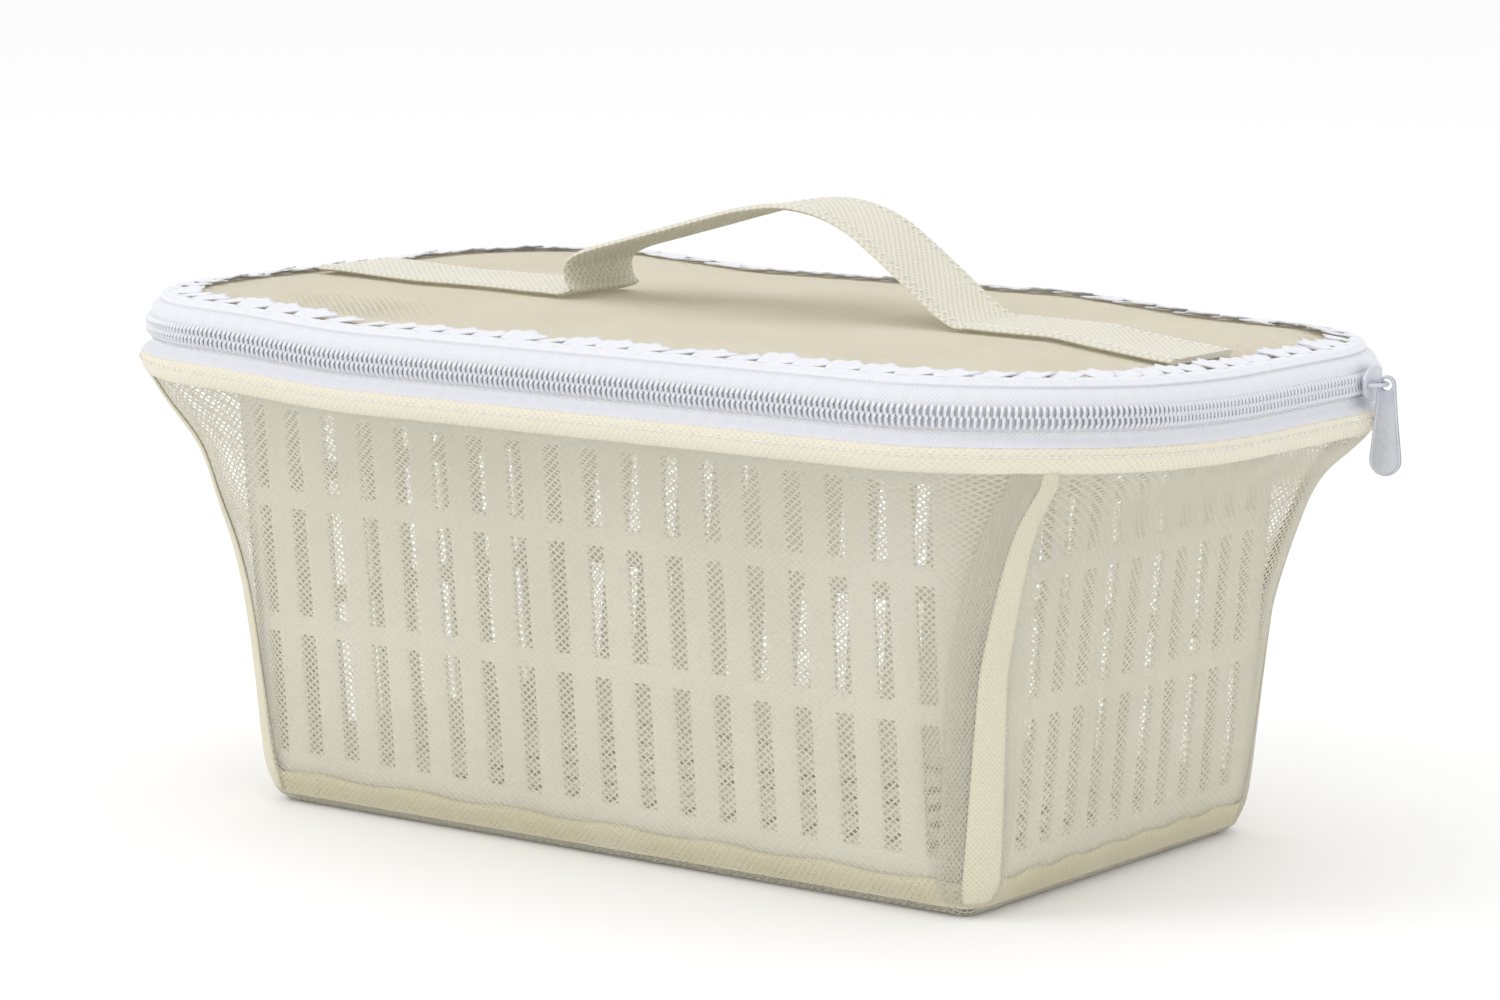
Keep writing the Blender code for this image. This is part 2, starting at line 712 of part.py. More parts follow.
def make_handle():
    grip = loop_path(LOOP_GRIP)
    left_end = (grip[0][0] - 2 * GAP, grip[0][1] - GAP)
    right_end = (grip[-1][0] + 2 * GAP, grip[-1][1] - 3 * GAP)
    webbing("handle_left_leg", [*loop_path(LOOP_LEFT_LEG), left_end], cream_webbing())
    webbing("handle_grip", grip, cream_webbing())
    webbing("handle_right_leg", [right_end, *loop_path(LOOP_RIGHT_LEG)], cream_webbing())
    reach = RIM_LENGTH / 2 - end_inset(TRIM_INSET + TRIM_WIDTH) - GAP
    clear = 0.0045  # from the loop's foot
    steps = 7
    for side, foot in (("left", LOOP_LEFT_X - clear), ("right", LOOP_RIGHT_X + clear / 2)):
        end = -reach if side == "left" else reach
        low_x, high_x = sorted((end, foot))
        tail = []
        for step in range(steps + 1):
            x = low_x + (high_x - low_x) * step / steps
            height = max(lid_height(x, y) for y in (-WEBBING_WIDTH / 2, 0.0, WEBBING_WIDTH / 2))
            tail.append((x, height + 2 * GAP))
        webbing(f"strap_{side}_tail", tail, cream_webbing())


# ---- build ------------------------------------------------------------------------------------
def clear_scene():
    for old in list(bpy.data.objects):
        bpy.data.objects.remove(old)


def main():
    clear_scene()
    make_basket_floor()
    make_basket_walls()
    make_basket_rim()
    make_bag_body()
    make_zip()
    make_sliders()
    make_lid_panel()
    make_lid_trim()
    make_handle()


main()
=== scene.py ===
"""Looks for a mesh laundry bag stretched over a slatted basket. Lengths are in metres."""

import json
import math

import bmesh
import bpy
import numpy as np
from mathutils import Matrix, Vector


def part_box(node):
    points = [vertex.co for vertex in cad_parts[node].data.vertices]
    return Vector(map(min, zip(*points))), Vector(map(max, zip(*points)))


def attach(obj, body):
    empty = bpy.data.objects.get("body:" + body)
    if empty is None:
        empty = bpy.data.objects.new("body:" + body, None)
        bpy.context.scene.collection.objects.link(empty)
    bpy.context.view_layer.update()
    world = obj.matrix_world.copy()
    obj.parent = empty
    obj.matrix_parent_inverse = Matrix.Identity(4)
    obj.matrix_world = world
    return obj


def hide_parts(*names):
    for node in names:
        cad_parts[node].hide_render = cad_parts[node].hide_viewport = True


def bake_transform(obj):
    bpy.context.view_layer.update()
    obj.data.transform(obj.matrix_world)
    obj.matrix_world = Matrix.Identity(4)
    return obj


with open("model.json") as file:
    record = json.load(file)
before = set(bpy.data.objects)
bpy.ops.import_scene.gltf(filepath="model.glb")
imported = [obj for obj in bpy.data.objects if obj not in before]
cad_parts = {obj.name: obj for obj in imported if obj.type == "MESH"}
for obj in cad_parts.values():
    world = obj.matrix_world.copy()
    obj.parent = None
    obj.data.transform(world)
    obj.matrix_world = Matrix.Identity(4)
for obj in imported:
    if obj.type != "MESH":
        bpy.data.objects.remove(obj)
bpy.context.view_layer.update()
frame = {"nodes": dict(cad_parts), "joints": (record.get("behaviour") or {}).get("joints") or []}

MM = 0.001
joints = {joint["name"]: joint for joint in frame["joints"]}

# ---- the bag's sizes, from the frame where it gives them -----------------------------------------
hem_low, hem_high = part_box("bag_rim_hem")
RIM_LENGTH = hem_high.x - hem_low.x + 0.6 * MM
RIM_DEPTH = hem_high.y - hem_low.y + 0.6 * MM
RIM_RADIUS = 63 * MM
CHAIN_HEIGHT = joints["lid_open"]["pos_m"][2] - 5 * MM
LID_EDGE_HEIGHT = CHAIN_HEIGHT + 7.8 * MM

# ---- how the outline changes down the bag ---------------------------------------------------------
FLANGE_INSET = 6 * MM
END_DRAW = 11.5 * MM
END_DRAW_REACH = 25.5 * MM
CORNER_TIGHTENING = 0.55

# ---- places round the rim, in turns: a corner's arc takes one, and so does each straight run -------
OPENING_RIGHT = 60 / 90
OPENING_LEFT = 2 + 30 / 90
ZIP_END_RIGHT = 80 / 90
ZIP_END_LEFT = 2 + 10 / 90
ROUND = 8.0


# ---- the outline ------------------------------------------------------------------------------------
def smooth(value, low, high):
    share = np.clip((np.asarray(value, float) - low) / (high - low), 0, 1)
    return share * share * (3 - 2 * share)


def rim_wave(x, y):
    """The cloth rim hangs low at the right rear and rides high at the left."""
    right = smooth(x, 0.12 * RIM_LENGTH, 0.32 * RIM_LENGTH)
    rear = smooth(y, -0.47 * RIM_DEPTH, 0.0)
    left = smooth(-x, 0.17 * RIM_LENGTH, 0.35 * RIM_LENGTH)
    return 3 * MM * left - 4 * MM * right * rear


def wave_share(inset, z):
    down = smooth(z, CHAIN_HEIGHT - 40 * MM, CHAIN_HEIGHT - 12 * MM)
    across = 1 - smooth(inset, 16.8 * MM, 75 * MM)
    return down * across


def corner_radius(inset):
    tightened = CORNER_TIGHTENING * np.maximum(0, inset - FLANGE_INSET)
    return np.maximum(1 * MM, RIM_RADIUS - inset - tightened)


def end_inset(inset):
    share = (inset - FLANGE_INSET) / (END_DRAW_REACH - FLANGE_INSET)
    return inset + END_DRAW * np.clip(share, 0, 1)


def around(turn, inset):
    """(x, y) on the outline at an inset. Even turns start a corner's arc and odd turns a straight run."""
    turn = np.mod(np.asarray(turn, float), ROUND)
    inset = np.asarray(inset, float)
    step = np.floor(turn).astype(int)
    part = turn - step
    quarter = step // 2
    on_run = step % 2 == 1
    angle = np.radians(90 * (quarter + np.where(on_run, 1.0, part)))
    radius = corner_radius(inset)
    reach_x = RIM_LENGTH / 2 - end_inset(inset) - radius
    reach_y = RIM_DEPTH / 2 - inset - radius

    def corner(number):
        number = number % 4
        side_x = np.where((number == 0) | (number == 3), 1, -1)
        side_y = np.where(number < 2, 1, -1)
        return side_x * reach_x + radius * np.cos(angle), side_y * reach_y + radius * np.sin(angle)

    x, y = corner(quarter)
    far_x, far_y = corner(quarter + 1)
    share = np.where(on_run, part, 0.0)
    return x + (far_x - x) * share, y + (far_y - y) * share


def on_outline(turn, inset, z):
    """Points with the rim's wave, as an array of (x, y, z)."""
    turn, inset, z = np.broadcast_arrays(np.asarray(turn, float), inset, z)
    x, y = around(turn, inset)
    return np.stack([x, y, z + rim_wave(x, y) * wave_share(inset, z)], axis=-1)


def even_turns(start, stop, spacing, inset):
    """Turns that are evenly spaced along the outline at an inset."""
    fine = np.linspace(start, stop, 4000)
    x, y = around(fine, np.full_like(fine, inset))
    length = np.concatenate([[0], np.cumsum(np.hypot(np.diff(x), np.diff(y)))])
    count = max(2, int(round(length[-1] / spacing)) + 1)
    return np.interp(np.linspace(0, length[-1], count), length, fine)


# ---- colours, nodes and materials -------------------------------------------------------------------
def colour(code):
    """An sRGB hex value as linear RGBA."""
    parts = [int(code[i : i + 2], 16) / 255 for i in (1, 3, 5)]
    linear = [c / 12.92 if c <= 0.04045 else ((c + 0.055) / 1.055) ** 2.4 for c in parts]
    return (*linear, 1.0)


def add(tree, kind, inputs=None, **settings):
    """Adds a node. inputs maps a socket's name or number to a value or to the socket that feeds it."""
    made = tree.nodes.new(kind)
    for key, value in settings.items():
        setattr(made, key, value)
    for key, value in (inputs or {}).items():
        if isinstance(value, bpy.types.NodeSocket):
            tree.links.new(value, made.inputs[key])
        else:
            made.inputs[key].default_value = value
    return made


def new_material(name):
    made = bpy.data.materials.new(name)
    made.use_nodes = True
    return made, made.node_tree, made.node_tree.nodes["Principled BSDF"]


def bumped(tree, shader, height, strength, distance):
    bump = add(tree, "ShaderNodeBump", {"Height": height, "Strength": strength, "Distance": distance})
    tree.links.new(bump.outputs["Normal"], shader.inputs["Normal"])


def two_tones(tree, value, dark, light, low=0.35, high=0.65):
    """A ramp from dark to light, driven by a value from 0 to 1."""
    ramp = add(tree, "ShaderNodeValToRGB", {"Fac": value})
    ramp.color_ramp.elements[0].position = low
    ramp.color_ramp.elements[0].color = colour(dark)
    ramp.color_ramp.elements[1].position = high
    ramp.color_ramp.elements[1].color = colour(light)
    return ramp.outputs["Color"]


def thin_yarn(tree, shader, shade, share):
    """Lets a share of the light through, as fine pale yarn does, so that its shadows stay soft."""
    through = add(tree, "ShaderNodeBsdfTranslucent", {"Color": colour(shade)})
    both = add(tree, "ShaderNodeMixShader", {0: share, 1: shader.outputs[0], 2: through.outputs[0]})
    tree.links.new(both.outputs[0], tree.nodes["Material Output"].inputs["Surface"])


def knitted_net(name, light, dark):
    """Knitted polyester net: matt, soft-edged yarn, a little uneven in colour where it is stretched."""
    made, tree, shader = new_material(name)
    place = add(tree, "ShaderNodeTexCoord").outputs["Object"]
    cloud = add(tree, "ShaderNodeTexNoise", {"Vector": place, "Scale": 28.0, "Detail": 4.0})
    tree.links.new(two_tones(tree, cloud.outputs["Fac"], dark, light), shader.inputs["Base Color"])
    # The yarn's filaments are about a tenth of a millimetre, drawn at a quarter so that they show.
    yarn = add(tree, "ShaderNodeTexNoise", {"Vector": place, "Scale": 4000.0, "Detail": 2.0})
    bumped(tree, shader, yarn.outputs["Fac"], 0.25, 0.1 * MM)
    shader.inputs["Roughness"].default_value = 0.78
    shader.inputs["Sheen Weight"].default_value = 0.25
    thin_yarn(tree, shader, light, 0.45)
    return made


def woven_lattice(tree, thread):
    """Two crossing sets of ridges on the piece's own UV map, which is in metres. thread is their spacing."""
    spot = add(tree, "ShaderNodeUVMap").outputs["UV"]
    rows = []
    for angle in (45, -45):
        turned = add(tree, "ShaderNodeMapping", {"Vector": spot, "Rotation": (0, 0, math.radians(angle))})
        wave = add(
            tree,
            "ShaderNodeTexWave",
            # At scale 1 the wave repeats every pi / 10 units.
            {"Vector": turned.outputs["Vector"], "Scale": math.pi / 10 / thread},
            wave_profile="SIN",
        )
        rows.append(wave.outputs["Fac"])
    return add(tree, "ShaderNodeMath", {0: rows[0], 1: rows[1]}, operation="MAXIMUM").outputs[0]


def doubled_net(name, light, dark, thread=1.1 * MM, strength=0.7):
    """Net laid over itself and sewn: the openings close up, and a diamond grain is left."""
    made, tree, shader = new_material(name)
    place = add(tree, "ShaderNodeTexCoord").outputs["Object"]
    lattice = woven_lattice(tree, thread)
    cloud = add(tree, "ShaderNodeTexNoise", {"Vector": place, "Scale": 60.0, "Detail": 3.0})
    uneven = add(tree, "ShaderNodeMath", {0: cloud.outputs["Fac"], 1: 0.5, 2: 0.25}, operation="MULTIPLY_ADD")
    grain = add(tree, "ShaderNodeMath", {0: lattice, 1: 0.5, 2: uneven.outputs[0]}, operation="MULTIPLY_ADD")
    tone = two_tones(tree, grain.outputs[0], dark, light, 0.30, 0.80)
    tree.links.new(tone, shader.inputs["Base Color"])
    bumped(tree, shader, lattice, strength, 0.35 * MM)
    shader.inputs["Roughness"].default_value = 0.8
    shader.inputs["Sheen Weight"].default_value = 0.2
    return made


def moulded_plastic(name, light, dark):
    """Injection-moulded polypropylene: satin, waxy, faintly mottled and fine-grained."""
    made, tree, shader = new_material(name)
    place = add(tree, "ShaderNodeTexCoord").outputs["Object"]
    cloud = add(tree, "ShaderNodeTexNoise", {"Vector": place, "Scale": 18.0, "Detail": 3.0})
    tree.links.new(two_tones(tree, cloud.outputs["Fac"], dark, light), shader.inputs["Base Color"])
    grain = add(tree, "ShaderNodeTexNoise", {"Vector": place, "Scale": 1500.0, "Detail": 2.0})
    rough = add(tree, "ShaderNodeMapRange", {"Value": grain.outputs["Fac"], "To Min": 0.36, "To Max": 0.52})
    tree.links.new(rough.outputs["Result"], shader.inputs["Roughness"])
    bumped(tree, shader, grain.outputs["Fac"], 0.12, 0.1 * MM)
    shader.inputs["IOR"].default_value = 1.49
    return made


def woven_tape(name, light, dark):
    """Woven polyester zip tape: fine ribs across the tape and a soft sheen."""
    made, tree, shader = new_material(name)
    spot = add(tree, "ShaderNodeUVMap").outputs["UV"]
    # Picks lie 0.35 mm apart, drawn at twice that so that they show.
    ribs = add(tree, "ShaderNodeTexWave", {"Vector": spot, "Scale": math.pi / 10 / (0.7 * MM)})
    lattice = woven_lattice(tree, 0.9 * MM)
    height = add(tree, "ShaderNodeMath", {0: ribs.outputs["Fac"], 1: lattice}, operation="ADD")
    tree.links.new(two_tones(tree, height.outputs[0], dark, light, 0.2, 1.0), shader.inputs["Base Color"])
    bumped(tree, shader, height.outputs[0], 0.3, 0.15 * MM)
    shader.inputs["Roughness"].default_value = 0.7
    shader.inputs["Sheen Weight"].default_value = 0.3
    return made


def drawn_nylon(name, shade):
    """Nylon monofilament of the zip's coils: smooth, slightly glossy and clouded."""
    made, tree, shader = new_material(name)
    place = add(tree, "ShaderNodeTexCoord").outputs["Object"]
    cloud = add(tree, "ShaderNodeTexNoise", {"Vector": place, "Scale": 300.0})
    rough = add(tree, "ShaderNodeMapRange", {"Value": cloud.outputs["Fac"], "To Min": 0.28, "To Max": 0.46})
    tree.links.new(rough.outputs["Result"], shader.inputs["Roughness"])
    shader.inputs["Base Color"].default_value = colour(shade)
    shader.inputs["IOR"].default_value = 1.53
    shader.inputs["Coat Weight"].default_value = 0.15
    return made


def painted_zinc(name, light, dark):
    """Die-cast zinc with a thin pearly grey paint: soft reflections, and a tone a little uneven from place to
    place.
    """
    made, tree, shader = new_material(name)
    place = add(tree, "ShaderNodeTexCoord").outputs["Object"]
    cloud = add(tree, "ShaderNodeTexNoise", {"Vector": place, "Scale": 700.0, "Detail": 4.0})
    tree.links.new(two_tones(tree, cloud.outputs["Fac"], dark, light, 0.3, 0.6), shader.inputs["Base Color"])
    rough = add(tree, "ShaderNodeMapRange", {"Value": cloud.outputs["Fac"], "To Min": 0.26, "To Max": 0.42})
    tree.links.new(rough.outputs["Result"], shader.inputs["Roughness"])
    bumped(tree, shader, cloud.outputs["Fac"], 0.08, 0.1 * MM)
    shader.inputs["Metallic"].default_value = 0.35
    return made


def backdrop_paint(name, shade):
    """Matt studio backdrop: flat rolled paint that shows soft shadows and no gloss."""
    made, _, shader = new_material(name)
    shader.inputs["Base Color"].default_value = colour(shade)
    shader.inputs["Roughness"].default_value = 0.9
    return made


NET = knitted_net("knitted_cream_net", "#EFECE0", "#E9E5D6")
# The lid's net is the same knitted net as the walls, in a lighter cream: painted light on the lid.
LID_NET_PAINTED_LIGHT = knitted_net("knitted_lid_net", "#F8F2E1", "#F2EBD7")
EDGE_NET = knitted_net("knitted_edge_net", "#F7F2DD", "#F3ECD0")
FOLDED_NET = doubled_net("doubled_cream_net", "#DFDAC3", "#D3CCB1")
HEM_NET = doubled_net("hem_cream_net", "#E4DFCC", "#D7CFB8", 1.5 * MM)
WEBBING = doubled_net("handle_webbing", "#DEDBCB", "#BFB9A3", 1.7 * MM, 1.0)
PLASTIC = moulded_plastic("ivory_polypropylene", "#ECEBE2", "#E6E5DA")
TAPE = woven_tape("white_zip_tape", "#DDDEE4", "#CBCCD4")
NYLON = drawn_nylon("white_coil_nylon", "#E4E6EA")
ZINC = painted_zinc("pearl_grey_zinc", "#CDD0D8", "#C4C8D0")
PICOT = woven_tape("white_picot_ribbon", "#E2E3E9", "#D2D3DC")
# A grey strip of painted shade between the coil's teeth, made with the nylon's shader.
SHADED = drawn_nylon("grey_filling_cord", "#B9BDC4")
THREAD = drawn_nylon("white_sewing_thread", "#E2E1DC")


# ---- making pieces ----------------------------------------------------------------------------------
def piece(name, points, faces, finish, uv=None, smooth_angle=50):
    mesh = bpy.data.meshes.new(name)
    mesh.from_pydata([tuple(p) for p in points], [], [tuple(f) for f in faces])
    if uv is not None:
        layer = mesh.uv_layers.new(name="UVMap")
        loops = np.zeros(len(mesh.loops), np.int32)
        mesh.loops.foreach_get("vertex_index", loops)
        layer.data.foreach_set("uv", np.asarray(uv, np.float32)[loops].ravel())
    mesh.shade_smooth()
    if smooth_angle:
        mesh.set_sharp_from_angle(angle=math.radians(smooth_angle))
    mesh.materials.append(finish)
    made = bpy.data.objects.new(name, mesh)
    bpy.context.scene.collection.objects.link(made)
    return made


def face_out(target):
    edit = bmesh.new()
    edit.from_mesh(target.data)
    bmesh.ops.recalc_face_normals(edit, faces=edit.faces)
    edit.to_mesh(target.data)
    edit.free()
    return target


def baked(target):
    """The object's evaluated mesh as a plain mesh, with no modifier left."""
    graph = bpy.context.evaluated_depsgraph_get()
    mesh = bpy.data.meshes.new_from_object(target.evaluated_get(graph), depsgraph=graph)
    target.modifiers.clear()
    target.data = mesh
    return target


def modify(target, kind, **settings):
    change = target.modifiers.new(kind.lower(), kind)
    for key, value in settings.items():
        setattr(change, key, value)
    return change


def lengths_along(points):
    steps = np.linalg.norm(np.diff(points, axis=0), axis=1)
    return np.concatenate([[0], np.cumsum(steps)])


def swept(name, section, turns, finish, shape=None):
    """A closed section of (inset, z) points carried round the outline. shape may move the points."""
    section = np.array(section)
    size = len(section)
    count = len(turns)
    grid = on_outline(turns[:, None], section[None, :, 0], section[None, :, 1])
    if shape is not None:
        grid = shape(grid, turns)
    whole = abs(turns[-1] - turns[0] - ROUND) < 1e-9
    if whole:
        count -= 1
        grid = grid[:-1]
    along = lengths_along(grid[:, 0])
    up = lengths_along(np.array([(a, b, 0) for a, b in section]))
    uv = [(along[i], up[j]) for i in range(count) for j in range(size)]
    faces = []
    for i in range(count if whole else count - 1):
        here = i * size
        there = ((i + 1) % count) * size
        for j in range(size):
            after = (j + 1) % size
            faces.append((here + j, here + after, there + after, there + j))
    if not whole:
        faces.append(tuple(range(size)))
        faces.append(tuple(range((count - 1) * size, count * size)))
    made = piece(name, grid.reshape(-1, 3), faces, finish, uv)
    if whole:
        # The last faces end at the first column. Their map keeps the last column's length there.
        layer = made.data.uv_layers[0].data
        for face in made.data.polygons[-size:]:
            for loop in face.loop_indices:
                if made.data.loops[loop].vertex_index < size:
                    layer[loop].uv.x = along[-1]
    return face_out(made)


def walled(line, wall):
    line = [tuple(p) for p in line]
    return line + [(inset + wall, z) for inset, z in reversed(line)]


def ridge_line(points, rounds=3):
    """Points on a smooth curve through the given ones."""
    points = np.array(points, float)
    before = np.vstack([2 * points[0] - points[1], points[:-1]])
    after = np.vstack([points[1:], 2 * points[-1] - points[-2]])
    tangents = (after - before) / 2
    found = []
    for k in range(len(points) - 1):
        for step in range(rounds):
            t = step / rounds
            a = 2 * t**3 - 3 * t**2 + 1
            b = t**3 - 2 * t**2 + t
            c = -2 * t**3 + 3 * t**2
            d = t**3 - t**2
            found.append(a * points[k] + b * tangents[k] + c * points[k + 1] + d * tangents[k + 1])
    found.append(points[-1])
    return np.array(found)


def joined(name, parts):
    """Several objects made one, with their materials kept."""
    with bpy.context.temp_override(
        active_object=parts[0], object=parts[0], selected_objects=parts, selected_editable_objects=parts
    ):
        bpy.ops.object.join()
    parts[0].name = name
    parts[0].data.name = name
    return parts[0]


def from_shape(name, shape, finish):
    """Turns an edited shape into an object, and frees the shape."""
    mesh = bpy.data.meshes.new(name)
    shape.to_mesh(mesh)
    shape.free()
    mesh.materials.append(finish)
    made = bpy.data.objects.new(name, mesh)
    bpy.context.scene.collection.objects.link(made)
    return made


# ---- geometry nodes ---------------------------------------------------------------------------------
def new_tree(name, sockets):
    tree = bpy.data.node_groups.new(name, "GeometryNodeTree")
    tree.interface.new_socket("Geometry", in_out="INPUT", socket_type="NodeSocketGeometry")
    for label, kind in sockets:
        tree.interface.new_socket(label, in_out="INPUT", socket_type=kind)
    tree.interface.new_socket("Geometry", in_out="OUTPUT", socket_type="NodeSocketGeometry")
    return tree, add(tree, "NodeGroupInput").outputs


def finish_tree(tree, geometry, material):
    solid = add(tree, "GeometryNodeRealizeInstances", {"Geometry": geometry})
    dressed = add(tree, "GeometryNodeSetMaterial", {"Geometry": solid.outputs[0], "Material": material})
    add(tree, "NodeGroupOutput", {"Geometry": dressed.outputs[0]})
    return tree


def run_tree(target, tree, values):
    """Runs a tree on an object and keeps the result as its mesh."""
    change = target.modifiers.new(tree.name, "NODES")
    change.node_group = tree
    for item in tree.interface.items_tree:
        if item.in_out == "INPUT" and item.name in values:
            change[item.identifier] = values[item.name]
    return baked(target)


def open_net_tree():
    """Every face of a lattice becomes a hole, with a sunken edge so that the threads between stand proud."""
    tree, given = new_tree(
        "open_net",
        [("Opening", "NodeSocketFloat"), ("Thread Depth", "NodeSocketFloat"), ("Yarn", "NodeSocketMaterial")],
    )
    sink = add(tree, "ShaderNodeMath", {0: given["Thread Depth"], 1: -1.0}, operation="MULTIPLY")
    holes = add(
        tree,
        "GeometryNodeExtrudeMesh",
        {"Mesh": given["Geometry"], "Offset Scale": sink.outputs[0], "Individual": True},
        mode="FACES",
    )
    smaller = add(
        tree,
        "GeometryNodeScaleElements",
        {"Geometry": holes.outputs["Mesh"], "Selection": holes.outputs["Top"], "Scale": given["Opening"]},
        domain="FACE",
    )
    threads = add(
        tree,
        "GeometryNodeDeleteGeometry",
        {"Geometry": smaller.outputs[0], "Selection": holes.outputs["Top"]},
        domain="FACE",
    )
    return finish_tree(tree, threads.outputs[0], given["Yarn"])


def row_tree():
    """Sets an item at even steps along a line, with its X along the line."""
    tree, given = new_tree(
        "row_of_items",
        [
            ("Spacing", "NodeSocketFloat"),
            ("Item", "NodeSocketObject"),
            ("Size Scatter", "NodeSocketFloat"),
            ("Turn Scatter", "NodeSocketFloat"),
            ("Finish", "NodeSocketMaterial"),
        ],
    )
    line = add(tree, "GeometryNodeMeshToCurve", {"Mesh": given["Geometry"]})
    even = add(
        tree,
        "GeometryNodeResampleCurve",
        {"Curve": line.outputs[0], "Length": given["Spacing"]},
        mode="LENGTH",
    )
    tangent = add(tree, "GeometryNodeInputTangent").outputs[0]
    turned = add(
        tree, "FunctionNodeAlignRotationToVector", {"Vector": tangent}, axis="X", pivot_axis="Z"
    )
    low = add(tree, "ShaderNodeMath", {0: 1.0, 1: given["Size Scatter"]}, operation="SUBTRACT")
    high = add(tree, "ShaderNodeMath", {0: 1.0, 1: given["Size Scatter"]}, operation="ADD")
    size = add(tree, "FunctionNodeRandomValue", {2: low.outputs[0], 3: high.outputs[0], "Seed": 7})
    back = add(tree, "ShaderNodeMath", {0: given["Turn Scatter"], 1: -1.0}, operation="MULTIPLY")
    lean = add(tree, "FunctionNodeRandomValue", {2: back.outputs[0], 3: given["Turn Scatter"], "Seed": 11})
    leaning = add(tree, "ShaderNodeCombineXYZ", {"X": lean.outputs[1], "Y": lean.outputs[1]})
    spun = add(tree, "FunctionNodeEulerToRotation", {0: leaning.outputs[0]})
    both = add(
        tree,
        "FunctionNodeRotateRotation",
        {"Rotation": turned.outputs[0], "Rotate By": spun.outputs[0]},
        rotation_space="LOCAL",
    )
    item = add(tree, "GeometryNodeObjectInfo", {"Object": given["Item"]})
    placed = add(
        tree,
        "GeometryNodeInstanceOnPoints",
        {
            "Points": even.outputs[0],
            "Instance": item.outputs["Geometry"],
            "Rotation": both.outputs[0],
            "Scale": size.outputs[1],
        },
    )
    return finish_tree(tree, placed.outputs[0], given["Finish"])


OPEN_NET = open_net_tree()
ROW = row_tree()


def row_of(name, points, spacing, item, finish, size_scatter=0.0, turn_scatter=0.0):
    """Copies of an item along a line of points, as one plain mesh."""
    points = np.asarray(points)
    mesh = bpy.data.meshes.new(name)
    mesh.from_pydata([tuple(p) for p in points], [(i, i + 1) for i in range(len(points) - 1)], [])
    made = bpy.data.objects.new(name, mesh)
    bpy.context.scene.collection.objects.link(made)
    values = {
        "Spacing": spacing,
        "Item": item,
        "Size Scatter": size_scatter,
        "Turn Scatter": turn_scatter,
        "Finish": finish,
    }
    return run_tree(made, ROW, values)


def tube(name, path, radius, sides, finish, flat=1.0):
    """A round bar along a path of points, with closed ends. flat squashes it along Z."""
    path = np.array(path, float)
    points = []
    for k, place in enumerate(path):
        ahead = path[min(k + 1, len(path) - 1)] - path[max(k - 1, 0)]
        ahead /= np.linalg.norm(ahead)
        side = np.cross(ahead, (0, 0, 1.0))
        if np.linalg.norm(side) < 0.05:
            side = np.array([1.0, 0, 0])
        side /= np.linalg.norm(side)
        up = np.cross(side, ahead)
        for j in range(sides):
            angle = 2 * math.pi * j / sides
            points.append(place + radius * (math.cos(angle) * side + flat * math.sin(angle) * up))
    faces = []
    for k in range(len(path) - 1):
        for j in range(sides):
            after = (j + 1) % sides
            faces.append((k * sides + j, k * sides + after, (k + 1) * sides + after, (k + 1) * sides + j))
    faces.append(tuple(range(sides)))
    faces.append(tuple(range((len(path) - 1) * sides, len(path) * sides)))
    return face_out(piece(name, points, faces, finish))


def drop(*things):
    """Takes helper objects away once they have been used."""
    for thing in things:
        bpy.data.objects.remove(thing)


def belongs(target, body, slot, *nodes):
    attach(target, body)
    if nodes:
        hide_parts(*nodes)
    return target


# ---- basket -----------------------------------------------------------------------------------------
BASKET_WALL = 2.0 * MM
BASKET_FOOT_INSET = 35.6 * MM
BASKET_LEAN = 0.0875
# (inset beyond the wall, z) in mm, and then (inset, z) in mm.
FOOT_TUCK = ((3.9, 4.2), (1.9, 6.6), (0.9, 10.0), (0.2, 14.0), (0.0, 16.5))
FLANGE = ((24.0, 128.6), (22.4, 129.4), (15.0, 129.9), (9.0, 129.8), (7.0, 129.2), (6.2, 128.2), (6.0, 126.6))
BAR_WIDTH = 5.5 * MM
BAR_HEIGHTS = (0.40 * CHAIN_HEIGHT, 0.67 * CHAIN_HEIGHT)
SLOT_FOOT = 16.5 * MM
SLOT_HEAD = CHAIN_HEIGHT - 21 * MM
SLOT_WIDTH = 5.5 * MM
SLOTS = ((18, 13.8 * MM), (10, 11.6 * MM))  # count and pitch, on the long walls and on the short ones
RUN_SIGNS = (-1, -1, 1, 1)  # which way each wall is walked, counter-clockwise from the back


def basket_inset(z):
    return BASKET_FOOT_INSET - BASKET_LEAN * z


def side_point(side, along, inset):
    """A point of the back, left, front or right wall at a distance along it, round into its corners."""
    radius = corner_radius(inset)
    half = RIM_LENGTH / 2 - end_inset(inset)
    depth = RIM_DEPTH / 2 - inset
    if side % 2:
        half, depth = depth, half
    past = max(0.0, abs(along) - (half - radius))
    level = depth - radius + math.sqrt(max(0.0, radius**2 - past**2))
    return ((along, level), (-level, along), (along, -level), (level, along))[side]


